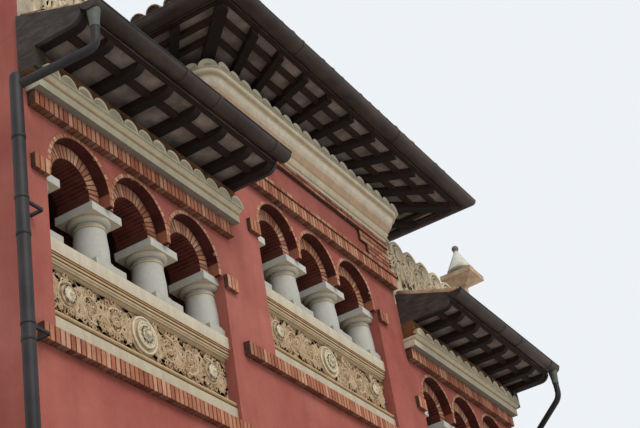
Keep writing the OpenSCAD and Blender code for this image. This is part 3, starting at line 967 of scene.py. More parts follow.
def solids(node: str) -> list[Box]:
    """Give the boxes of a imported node's separate solids, from left to right.

    Args:
        node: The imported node.

    Returns:
        The lowest and highest corner of each solid.
    """
    shape = bmesh.new()
    shape.from_mesh(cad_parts[node].data)
    bmesh.ops.remove_doubles(shape, verts=shape.verts, dist=1e-5)
    left, boxes = set(shape.verts), []
    while left:
        island, edge = set(), [left.pop()]
        while edge:
            vert = edge.pop()
            island.add(vert)
            near = {e.other_vert(vert) for e in vert.link_edges} & left
            left -= near
            edge.extend(near)
        boxes.append(tuple(Vector(f(v.co[i] for v in island) for i in range(3)) for f in (min, max)))
    shape.free()
    return sorted(boxes, key=lambda box: box[0].x)


# Sub-assemblies

@dataclass(frozen=True)
class Bay:
    """One bay of three arches, read from the frame.

    Attributes:
        side: Which bay it is.
        middle: X of its middle.
        foot: Height of its parapet's foot.
        ledge: Height of its parapet's ledge.
        spring: Height at which its arches spring.
    """

    side: Side
    middle: float
    foot: float
    ledge: float
    spring: float

    @property
    def name(self) -> str:
        """Give the ending of the bay's node names."""
        return self.side.name.lower()

    @classmethod
    def read(cls, side: Side) -> "Bay":
        """Read a bay from its parapet and columns.

        Args:
            side: Which bay.

        Returns:
            The bay.
        """
        low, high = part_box(f"parapet_{side.name.lower()}")
        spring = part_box(f"columns_{side.name.lower()}")[1].z
        return cls(side, (low.x + high.x) / 2, low.z, high.z, spring)


@dataclass
class Brickwork:
    """Bricks laid on their mortar beds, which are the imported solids.

    Attributes:
        bays: The three bays.
        pitch: Spacing of bricks set on edge.
        joint: Width of a joint.
        fine: Width of a joint between wedge bricks.
        proud: How far the bricks stand out of their bed.
        chamfer: Wear along a brick's edges.
        arch_pitch: Spacing of the arches.
        stilt: Height of an arch's straight foot.
        opening: Clear radius of an arch.
        order: Outer radius of the deep order.
        ring: Outer radius of the face ring.
        ring_depth: Depth of the face ring.
        count: Bricks round a half circle.
        slip: How far a brick's place errs, in metres.
        shrink: Share by which its length errs.
        lean: Its tilt in radians.
        veneer: How far wedge bricks stand out of their bed, and how far they go in.
        string_lip: Height of the string's foot that is left as mortar.
        quoin_cap: Height of a quoin's wide head.
        quoin_narrow: Width that its narrow foot lacks.
        quoin_bricks: Spacing of the bricks in its foot and in its head.
        chance: Seeded source of tones and unevenness.
    """

    bays: Sequence[Bay]
    pitch: float = 0.059
    joint: float = 0.013
    fine: float = 0.008
    proud: float = 0.005
    chamfer: float = 0.0025
    arch_pitch: float = 0.8
    stilt: float = 0.072
    opening: float = 0.240
    order: float = 0.376
    ring: float = 0.412
    ring_depth: float = 0.110
    count: int = 21
    slip: float = 0.0015
    shrink: float = 0.05
    lean: float = 0.008
    veneer: Pair = (0.003, 0.020)
    string_lip: float = 0.010
    quoin_cap: float = 0.140
    quoin_narrow: float = 0.152
    quoin_bricks: Pair = (0.176, 0.17)
    chance: random.Random = field(default_factory=lambda: random.Random(11))
    clay: Finish = FiredBrick("hand_made_brick", "brick", 0.9, 0.006, 0.0015, 0.5, 0.05)
    pale_clay: Finish = FiredBrick("chalked_order_brick", "brick", 0.9, 0.006, 0.0015, 0.5, 0.05,
                                   ("#8E5640", "#B47C5E", "#C8A084", "#9C6650", "#BE8C6C"), 0.85, 0.4)
    ring_clay: Finish = FiredBrick("ring_brick", "brick", 0.9, 0.006, 0.0015, 0.5, 0.05,
                                   ("#A46A4E", "#C0886A", "#CCA084", "#B0765A"), 0.85, 0.4)
    bed: Finish = JointMortar("joint_mortar", "brick", 0.95, 0.004, 0.001, 0.4, 0.04)

    def uneven(self, size: float) -> float:
        """Give a small seeded slip of up to `size` either way."""
        return self.chance.uniform(-size, size)

    def lay(self, name: str, low: Vector, high: Vector, length: float, rows: int = 1) -> Piece:
        """Fill the front of a box with rows of bricks that break joint.

        Args:
            name: Name of the piece.
            low: The box's lowest corner, at the street side.
            high: The box's highest corner.
            length: Spacing of the bricks along X.
            rows: Number of rows.

        Returns:
            The bricks as one piece.
        """
        rise = (high.z - low.z) / rows
        depth = high.y - low.y
        tall = rise + self.proud if rows == 1 else rise - self.joint
        size = Vector((length - self.joint, depth + self.proud, tall))
        master = chamfered(cube(-size / 2, size / 2), self.chamfer)
        count = max(1, round((high.x - low.x) / length))
        step = (high.x - low.x) / count
        places = []
        for row in range(rows):
            half = row % 2
            for k in range(count + half):
                start = max(low.x, low.x + (k - half / 2) * step)
                end = min(high.x, low.x + (k + 1 - half / 2) * step)
                middle = Vector(((start + end) / 2 + self.uneven(0.001),
                                 (low.y + high.y - self.proud) / 2 + self.uneven(self.slip),
                                 low.z + (row + 0.5) * rise - (self.proud / 2 if rows == 1 else 0)
                                 + self.uneven(self.slip)))
                across = (end - start - self.joint) / size.x * (1 + self.uneven(self.shrink))
                turn = Matrix.Rotation(self.uneven(self.lean), 4, "Y")
                scale = Matrix.Diagonal((across, 1, 1, 1))
                places.append((Matrix.Translation(middle) @ turn @ scale, self.chance.random()))
        return copies(name, master, places)

    def voussoir(self, inner: float, outer: float, near: float, far: float) -> Piece:
        """Model one wedge brick about the arch's middle, upright at the crown.

        Args:
            inner: Radius of its foot.
            outer: Radius of its head.
            near: Y of its street face.
            far: Y of its back.

        Returns:
            The wedge.
        """
        step = math.pi / self.count
        foot, head = inner * step - self.fine, outer * step - self.fine
        piece = cube(Vector((-foot / 2, near, inner)), Vector((foot / 2, far, outer)))
        with editing(piece, Part.FACES):
            pick(piece, Part.FACES, lambda middle: middle.z > outer - 1e-6)
            bpy.ops.transform.resize(value=(head / foot, 1, 1))
        return chamfered(piece, self.chamfer)

    def arch(self, name: str, centre: Vector, radii: Pair, reach: Pair, cuts: Sequence[int]) -> Piece:
        """Turn wedge bricks round one stilted arch.

        Args:
            name: Name of the piece.
            centre: The arch's middle at the top of the stilts.
            radii: Inner and outer radius.
            reach: Y of the bricks' face and of their back.
            cuts: Sides, -1 or 1, on which the arch meets its neighbour and is cut.

        Returns:
            The arch's bricks as one piece.
        """
        step = math.pi / self.count
        places = []
        for k in range(self.count):
            turn = Matrix.Rotation((k + 0.5) * step - math.pi / 2, 4, "Y")
            slip = Matrix.Translation((0, self.uneven(2 * self.slip), self.uneven(self.slip)))
            places.append((Matrix.Translation(centre) @ turn @ slip, self.chance.random()))
        middle = (radii[0] + radii[1]) / 2
        grow = (self.stilt - self.fine) / (middle * step - self.fine)
        for hand in (-1, 1):
            drop = Matrix.Translation(centre - Vector((0, 0, self.stilt / 2)))
            turn = Matrix.Rotation(hand * math.pi / 2, 4, "Y")
            places.append((drop @ turn @ Matrix.Diagonal((grow, 1, 1, 1)), self.chance.random()))
        piece = copies(name, self.voussoir(*radii, *reach), places)
        for hand in cuts:
            cut(piece, centre + Vector((hand * (self.arch_pitch / 2 - 0.002), 0, 0)), Vector((hand, 0, 0)))
        return piece

    def arches(self) -> None:
        """Lay the faces of the rings and orders of all nine arches, and give their soffits a painted shade.
        """
        thin, back = self.veneer
        front = FACE + self.ring_depth
        for bay in self.bays:
            rings, fronts = [], []
            crown = bay.spring + self.stilt
            for k in (-1, 0, 1):
                centre = Vector((bay.middle + k * self.arch_pitch, 0, crown))
                cuts = [hand for hand in (-1, 1) if -1 <= k + hand <= 1]
                rings.append(self.arch("ring", centre, (self.order + 0.001, self.ring + 0.002),
                                       (FACE - thin, FACE + back), cuts))
                fronts.append(self.arch("front", centre, (self.opening + 0.001, self.order - 0.004),
                                        (front - thin, front + back), ()))
            hand_over(joined(f"ring_bricks_{bay.name}", rings), self.ring_clay)
            hand_over(joined(f"order_bricks_{bay.name}", fronts), self.pale_clay)
            # Soffits: dark brick with a painted shade on what faces down.
            dress([f"arch_orders_{bay.name}"], SoffitBrick(f"painted_shade_soffit_{bay.name}", "brick", 0.9, 0.006,
                                                           0.0012, 0.3, 0.06, bay.middle, crown))
        dress(["arch_rings"], SoffitBrick("painted_shade_ring_soffit", "brick", 0.9, 0.006, 0.0012, 0.3, 0.06,
                                          tones=("#3A1712", "#521F18"), mortar="#50241B", upright="#935A44"))

    def courses(self) -> None:
        """Lay the soldier courses, imposts, string, top course and quoins."""
        for node in ("brick_base_courses", "brick_upper_courses", "impost_blocks"):
            rows = [self.lay("row", low, high, self.pitch) for low, high in solids(node)]
            hand_over(joined(f"bricks_of_{node}", rows), self.clay)
        low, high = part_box("tower_string")
        low.z += self.string_lip
        hand_over(self.lay("bricks_of_tower_string", low, high, 2 * self.pitch), self.clay)
        low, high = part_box("tower_top_course")
        hand_over(self.lay("bricks_of_tower_top_course", low, high, 4 * self.pitch, 2), self.clay)
        corners = []
        for hand, (low, high) in zip((-1, 1), solids("tower_quoins")):
            cap = high.z - self.quoin_cap
            left = low.x + (self.quoin_narrow if hand > 0 else 0)
            right = high.x - (self.quoin_narrow if hand < 0 else 0)
            corners.append(self.lay("quoin", Vector((left, low.y, low.z)), Vector((right, high.y, cap)),
                                    self.quoin_bricks[0], 4))
            corners.append(self.lay("quoin", Vector((low.x, low.y, cap)), high, self.quoin_bricks[1], 2))
        hand_over(joined("bricks_of_tower_quoins", corners), self.clay)

    def build(self) -> None:
        """Lay all bricks and give the beds their mortar."""
        self.arches()
        self.courses()
        dress(["brick_base_courses", "brick_upper_courses", "impost_blocks", "tower_string",
               "tower_quoins", "tower_top_course"], self.bed)


@dataclass
class Masonry:
    """The rendered walls, stone mouldings, columns, floors and decks.

    Attributes:
        bays: The three bays.
    """

    bays: Sequence[Bay]

    def build(self) -> None:
        """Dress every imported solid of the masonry."""
        dress(["wall_left", "wall_tower", "wall_right", "back_wall"], RED_RENDER)
        plain = LimeRender("bare_lime_render", "party_render", 0.95, 0.01, 0.002, 0.3, 0.12,
                           ("#8A6457", "#9A7466", "#A88576"), 0.82)
        dress(["party_walls", "tower_side_walls"], plain)
        screed = LimeRender("dusty_screed", "floor_screed", 0.9, 0.004, 0.0008, 0.4, 0.1,
                            ("#5E4A40", "#6E5A4E", "#7E6A5C"), 0.9)
        dress(["gallery_floors", "upper_decks"], screed)
        for bay in self.bays:
            self.parapet(bay)
            self.columns(bay)
        self.cornices()

    def parapet(self, bay: Bay) -> None:
        """Band a parapet from its foot to its ledge.

        Args:
            bay: The bay.
        """
        # Cream and tan paint; the dark brown lines at the coves are a painted shade.
        bands = ((0.0, "#BDB29B"), (0.203, "#C2B69D"), (0.212, "#8C6A48"), (0.226, "#B9996E"),
                 (0.262, "#C8AE84"), (0.276, "#A88158"), (0.288, "#C8BCA2"), (0.70, "#BFB196"),
                 (0.755, "#B49A76"), (0.775, "#C6B290"), (0.80, "#CDBE9E"), (0.815, "#B08E66"),
                 (0.828, "#C2AC88"), (0.842, "#B89468"), (0.852, "#C0946A"), (0.860, "#B08660"),
                 (0.868, "#C6BAA2"), (1.0, "#CCC2AC"))
        dress([f"parapet_{bay.name}"], RunMoulding(f"run_parapet_{bay.name}", "parapet_stone", 0.85, 0.003,
                                                   0.0006, 0.5, 0.05, bay.foot, bay.ledge - bay.foot, bands))

    def columns(self, bay: Bay) -> None:
        """Band the columns, grey-white with tan lines at the beads, a painted shade under them.

        Args:
            bay: The bay.
        """
        bands = ((0.0, "#B8B6AA"), (0.14, "#B3B2A8"), (0.16, "#B8B7AE"), (0.72, "#BAB9B0"),
                 (0.735, "#C0A880"), (0.75, "#C0BBA8"), (0.765, "#BEA47A"), (0.78, "#BDBAAE"),
                 (0.85, "#BBB7A6"), (0.868, "#BEA47C"), (0.885, "#C0BFB5"), (1.0, "#C4C3BB"))
        paint = RunMoulding(f"painted_stone_{bay.name}", "column_stone", 0.75, 0.004, 0.0005, 0.4, 0.08,
                            bay.ledge, bay.spring - bay.ledge, bands, 0.93)
        dress([f"columns_{bay.name}"], paint)

    def cornices(self) -> None:
        """Band both kinds of cornice, cream and tan paint with a painted shade in the darker lines at the
        foot and the coves.
        """
        low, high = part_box("side_cornices")
        side = ((0.0, "#7E7468"), (0.02, "#C0B9A0"), (0.62, "#C8C1A8"), (0.66, "#A08A68"),
                (0.76, "#B9A486"), (0.90, "#C6BEA4"), (1.0, "#CCC4AC"))
        dress(["side_cornices"], RunMoulding("run_side_cornice", "cornice_stone", 0.85, 0.003, 0.0006,
                                             0.3, 0.05, low.z, high.z - low.z, side))
        low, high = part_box("tower_cornice")
        tower = ((0.0, "#D8CEB8"), (0.10, "#D8CEB8"), (0.12, "#B39C7E"), (0.16, "#D6C6A8"),
                 (0.30, "#E2D4B8"), (0.33, "#A98A6C"), (0.37, "#C8B496"), (0.44, "#CCAE90"),
                 (0.56, "#D4B89A"), (0.60, "#E8DEC8"), (0.70, "#EEE6D0"), (0.79, "#E4DAC2"),
                 (0.82, "#BCA88A"), (0.90, "#CCB898"), (0.93, "#E4DAC2"), (1.0, "#EAE0CA"))
        piece = turned("tower_cornice", "round_tower_cornice")
        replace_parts(hand_over(piece, RunMoulding("run_tower_cornice", "cornice_stone", 0.85, 0.003, 0.0006,
                                                 0.1, 0.04, low.z, high.z - low.z, tower)), "tower_cornice")


@dataclass
class Carving:
    """The foliage panels: scrolls with leaves, flowers and a round boss in each bay.

    Attributes:
        bays: The three bays.
        setback: How far the carved ground lies behind the wall face.
        low: Share of the parapet's height at which a panel starts.
        high: Share at which it ends.
        turns: Turns of a scroll.
        scrolls: Distances of the scrolls from the bay's middle.
        palms: Distances of the leaf fans between the scrolls from it.
        lift: How far a scroll's eye lies over or under the panel's middle line.
        radius: Radius of a scroll.
        stem: Radius of a stem.
        rise: Height of a stem's middle line over the ground.
        frond: Length of the longest leaf on a scroll.
        splay: Least angle of a leaf to its stem and how much more it may be, in degrees.
        bloom: Radius of a flower.
        relief: Height of a leaf's relief.
        strewn: Small leaves strewn between the scrolls.
        reach: How far along X they are strewn.
        small: Lengths of the smallest and largest of them.
        petal: Height of a petal's relief on a flower.
        shell: Height of one on the boss and on the end flowers.
        rings: Share of the boss's radius, share of its height and thickness of each ring.
        petals: Number, share of the radius and share of the height of the boss's rows of petals.
        chance: Seeded source of small differences.
    """

    bays: Sequence[Bay]
    setback: float = 0.111
    low: float = 0.33
    high: float = 0.725
    turns: float = 1.6
    scrolls: tuple[float, ...] = (0.36, 0.665, 0.963)
    palms: tuple[float, ...] = (0.205, 0.51, 0.815, 1.125)
    lift: float = 0.008
    radius: float = 0.138
    stem: float = 0.012
    rise: float = 0.010
    frond: float = 0.098
    splay: Pair = (48, 18)
    bloom: float = 0.045
    relief: float = 0.075
    strewn: int = 120
    reach: float = 1.19
    small: Pair = (0.05, 0.09)
    petal: float = 0.09
    shell: float = 0.10
    rings: tuple[Triple, ...] = ((0.92, 0.20, 0.010), (0.66, 0.30, 0.008),
                                                     (0.98, 0.06, 0.012))
    petals: tuple[tuple[int, float, float], ...] = ((16, 0.62, 0.20), (10, 0.38, 0.28))
    chance: random.Random = field(default_factory=lambda: random.Random(5))

    def flower(self) -> Piece:
        """Model one flower of six petals round a berry, a unit in radius.

        Returns:
            The flower, a unit in radius.
        """
        petals = copies("petals", leaf(), [
            (Matrix.Rotation(k * math.pi / 3, 4, "Z") @ Matrix.Diagonal((0.95, 1.5, 1.0, 1.0)), PLAIN)
            for k in range(6)])
        berry = primitive("uv_sphere", segments=12, ring_count=6, radius=0.26, location=(0, 0, 0.22))
        return joined("flower", [petals, berry, self.dome(0.8, 0.25)])

    def dome(self, radius: float, rise: float) -> Piece:
        """Model a low round dome on the panel's ground, which fills what lies behind petals.

        Args:
            radius: Its radius.
            rise: Its height.

        Returns:
            The dome, about the origin.
        """
        dome = toned(primitive("uv_sphere", segments=32, ring_count=12, radius=radius))
        dome.data.transform(Matrix.Diagonal((1, 1, rise / radius, 1)))
        return dome

    def spiral(self, centre: Vector, hand: int, lift: int) -> list[tuple[Vector, float, float]]:
        """Give points, headings and shares along one scroll, from its rim inwards.

        Args:
            centre: The scroll's eye in the panel's own plane.
            hand: -1 or 1, the side of the bay that it is on.
            lift: -1 or 1, the way that it turns.

        Returns:
            For each step its point, its heading and its share of the whole.
        """
        steps = 40
        found = []
        for k in range(steps + 1):
            share = k / steps
            reach = self.radius * (1 - 0.80 * share ** 0.85)
            angle = lift * (-math.pi * 0.62 + 2 * math.pi * self.turns * share)
            point = centre + Vector((reach * math.cos(angle), reach * math.sin(angle), 0))
            found.append((Vector((hand * point.x, point.y, 0)), angle + lift * math.pi / 2, share))
        return found

    def half(self, hand: int, boss: float) -> tuple[list, list, list]:
        """Lay out one half of a panel in its own plane.

        Args:
            hand: -1 or 1, the side of the bay.
            boss: Half the panel's height.

        Returns:
            The scrolls' points, and the places of leaves and of flowers.
        """
        stems, leaves, flowers = [], [], []
        for k, along in enumerate(self.scrolls):
            lift = 1 if k % 2 else -1
            walk = self.spiral(Vector((along, self.lift * lift, 0)), hand, lift)
            stems.append([point for point, _, _ in walk])
            for step in range(1, 34, 2):
                point, heading, share = walk[step]
                size = self.frond * (1 - 0.6 * share)
                for fan in (1, -1) if step % 4 == 1 else (1,):
                    splay = self.splay[0] + self.splay[1] * self.chance.random()
                    lean = heading - fan * lift * math.radians(splay)
                    leaves.append((point, lean if hand > 0 else math.pi - lean, size))
            flowers.append((Vector((hand * along, self.lift * lift, 0)), self.bloom))
        for along in self.palms:
            for lift in (-1, 1):
                root = Vector((hand * along, -lift * 0.02, 0))
                for fan in (-1.0, -0.5, 0.0, 0.5, 1.0):
                    lean = lift * math.pi / 2 + fan * 0.72
                    size = boss * (0.98 - 0.25 * abs(fan))
                    leaves.append((root, lean if hand > 0 else math.pi - lean, size))
        return stems, leaves, flowers

    def panel(self, bay: Bay) -> None:
        """Carve one bay's panel on its slab.

        Args:
            bay: The bay.
        """
        height = bay.ledge - bay.foot
        middle = bay.foot + (self.low + self.high) / 2 * height
        boss = (self.high - self.low) / 2 * height
        ground = Matrix.Translation((bay.middle, FACE + self.setback, middle)) @ UPRIGHT
        parts, leaves, flowers = [], [], []
        for hand in (-1, 1):
            stems, more, blooms = self.half(hand, boss)
            for line in stems:
                taper = [1.3 - 0.7 * k / len(line) for k in range(len(line))]
                stem = tube("stem", [p + Vector((0, 0, self.rise)) for p in line], self.stem, 2, taper)
                stem.data.transform(ground)
                parts.append(stem)
            leaves += more
            flowers += blooms
        for _ in range(self.strewn):
            spot = Vector((self.chance.choice((-1, 1)) * self.chance.uniform(1.05 * boss, self.reach),
                           self.chance.uniform(-0.85, 0.85) * boss, 0.004))
            leaves.append((spot, self.chance.uniform(0, 2 * math.pi), self.chance.uniform(*self.small)))
        spots = []
        for point, lean, size in leaves:
            size_and_rise = (size, size * 1.1, self.relief * self.chance.uniform(0.7, 1.3), 1)
            spots.append((ground @ Matrix.Translation(point) @ Matrix.Rotation(lean, 4, "Z")
                          @ Matrix.Diagonal(size_and_rise), PLAIN))
        parts.append(copies("leaves", leaf(), spots))
        blooms = [(ground @ Matrix.Translation(point) @ Matrix.Diagonal((size, size, self.petal, 1)), PLAIN)
                  for point, size in flowers]
        ends = [(ground @ Matrix.Translation((hand * self.scrolls[-1], 0, 0.2 * boss))
                 @ Matrix.Diagonal((0.4 * boss, 0.4 * boss, self.shell, 1)), PLAIN) for hand in (-1, 1)]
        parts.append(copies("flowers", self.flower(), blooms + ends))
        parts += self.medallion(ground, boss)
        piece = smooth(joined(f"carving_{bay.name}", parts), 50)
        hand_over(piece, CarvedStucco("cast_foliage", "parapet_stone", 0.9, 0.004, 0.0008, 0.2, 0.03,
                                      FACE + self.setback, 0.036))

    def medallion(self, ground: Matrix, boss: float) -> list[Piece]:
        """Model the round boss: three rings, a shell of two rows of petals, and a bud on a dome.

        Args:
            ground: From the panel's plane to the frame.
            boss: Radius of the boss.

        Returns:
            Its parts, in place.
        """
        parts = []
        for share, lift, thick in self.rings:
            ring = toned(primitive("torus", major_radius=share * boss, minor_radius=thick,
                                   major_segments=48, minor_segments=8))
            ring.data.transform(ground @ Matrix.Translation((0, 0, lift * boss)))
            parts.append(ring)
        for count, size, lift in self.petals:
            petals = [(ground @ Matrix.Translation((0, 0, lift * boss))
                       @ Matrix.Rotation(2 * math.pi * (k + 0.5) / count, 4, "Z")
                       @ Matrix.Diagonal((size * boss, size * boss * 10 / count, self.shell, 1)), PLAIN)
                      for k in range(count)]
            parts.append(copies("shell", leaf(), petals))
        bud = toned(primitive("uv_sphere", segments=16, ring_count=8, radius=0.14 * boss))
        bud.data.transform(ground @ Matrix.Translation((0, 0, 0.42 * boss)))
        back = self.dome(0.62 * boss, 0.30 * boss)
        back.data.transform(ground)
        return [*parts, bud, back]

    def build(self) -> None:
        """Carve all panels and dress their slabs."""
        dress(["carved_panels"], CarvedStucco("cast_ground", "parapet_stone", 0.9, 0.004, 0.0015, 0.1, 0.04,
                                              FACE + self.setback, 0.05))
        for bay in self.bays:
            self.panel(bay)


@dataclass
class TileEnds:
    """The rows of round tile ends over the cornices, cream at the face and clay behind.

    Attributes:
        thick: Thickness of a tile.
        sunk: How far the mortar in a tile's mouth lies back.
        pitch: Spacing of the ends.
        radius: Outer radius of an end.
        depth: Length of an end, its clay back with it.
        proud: How far an end stands out of its bed.
        chance: Seeded source of unevenness.
        cream: Limewash on the ends' faces.
        clay: Clay of their backs.
    """

    thick: float = 0.020
    sunk: float = 0.012
    pitch: float = 0.2025
    radius: float = 0.101
    depth: float = 0.057
    proud: float = 0.006
    chance: random.Random = field(default_factory=lambda: random.Random(3))
    cream: Finish = RunMoulding("limewashed_tile_end", "tile_end", 0.9, 0.004, 0.001, 0.3, 0.04, 0.0, 9.0,
                                ((0.0, "#D2CAB2"), (1.0, "#D2CAB2")), 0.86)
    clay: Finish = ClayTile("tile_backs", "tile_end", 0.9, 0.006, 0.001, 0.5, 0.06,
                            ("#6E3E2C", "#8A5238", "#7A4632"), "#8A7A60", 0.2)

    def end(self, radius: float, depth: float) -> Piece:
        """Model one tile end that faces the street, its foot at the origin.

        Args:
            radius: Outer radius.
            depth: Length from its face to its back.

        Returns:
            The end with a sunk mouth.
        """
        piece = primitive("cylinder", vertices=32, radius=radius, depth=depth, end_fill_type="NGON",
                          rotation=(math.pi / 2, 0, 0), location=(0, depth / 2, 0))
        cut(piece, Vector((0, 0, 0.0005)), Vector((0, 0, -1)))
        with editing(piece, Part.FACES):
            pick(piece, Part.FACES, lambda middle: middle.y < 1e-4)
            bpy.ops.mesh.inset(thickness=self.thick, depth=0)
            bpy.ops.transform.translate(value=(0, self.sunk, 0))
        with editing(piece, Part.EDGES):
            pick(piece, Part.EDGES, lambda middle: middle.y < 1e-4)
            bpy.ops.mesh.bevel(offset=0.006, segments=2, affect="EDGES")
        return piece

    def row(self, name: str, places: Sequence[Matrix]) -> None:
        """Set a row of ends, with a clay back just above each.

        Args:
            name: Ending of the pieces' names.
            places: Where each end goes.
        """
        spots = []
        for matrix in places:
            wobble = Matrix.Translation((0, self.chance.uniform(-0.006, 0.003), 0)) @ Matrix.Diagonal(
                (1, 1, self.chance.uniform(0.94, 1.0), 1))
            spots.append((matrix @ wobble, self.chance.random()))
        face = self.end(self.radius, 0.45 * self.depth)
        hand_over(smooth(copies(f"tile_ends_{name}", face, spots)), self.cream)
        back = self.end(self.radius + 0.004, 0.62 * self.depth)
        push = Matrix.Translation((0, 0.38 * self.depth, 0.001))
        hand_over(smooth(copies(f"tile_backs_{name}", back, [(m @ push, t) for m, t in spots])), self.clay)

    def build(self) -> None:
        """Set the side rows and the tower's row, which turns both corners."""
        places = []
        for low, high in solids("tile_row_sides"):
            count = round((high.x - low.x) / self.pitch)
            step = (high.x - low.x) / count
            places += [Matrix.Translation((low.x + (k + 0.5) * step, low.y - self.proud, low.z))
                       for k in range(count)]
        self.row("sides", places)
        self.row("tower", self.curve())
        self.bed()

    def curve(self) -> list[Matrix]:
        """Place the tower's ends along its front, round both corners and back along its sides.

        Returns:
            Where each end goes, from left to right.
        """
        low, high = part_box("tile_row_tower")
        reach = FACE - low.y + self.proud
        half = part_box("wall_tower")[1].x - CORNER_INSET
        bend = CORNER_INSET + reach
        quarter = bend * math.pi / 2
        count = int((half + quarter + high.y - FACE - CORNER_INSET) / self.pitch)
        places = []
        for k in range(-count, count + 1):
            hand = 1 if k > 0 else -1
            past = abs(k) * self.pitch - half
            angle = min(max(past / bend, 0.0), math.pi / 2)
            spot = Vector((hand * (min(half, abs(k) * self.pitch) + bend * math.sin(angle)),
                           FACE + CORNER_INSET - bend * math.cos(angle) + max(0.0, past - quarter), low.z))
            places.append(Matrix.Translation(spot) @ Matrix.Rotation(hand * angle, 4, "Z"))
        return places

    def bed(self) -> None:
        """Dress the sides' bed and lead the tower's bed round its corners."""
        mortar = RunMoulding("tile_bed", "tile_end", 0.9, 0.004, 0.001, 0.5, 0.05, 0.0, 9.0,
                             ((0.0, "#B4AA90"), (1.0, "#B4AA90")), 0.82)
        dress(["tile_row_sides"], mortar)
        piece = turned("tile_row_tower", "round_tile_bed")
        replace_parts(hand_over(piece, mortar), "tile_row_tower")


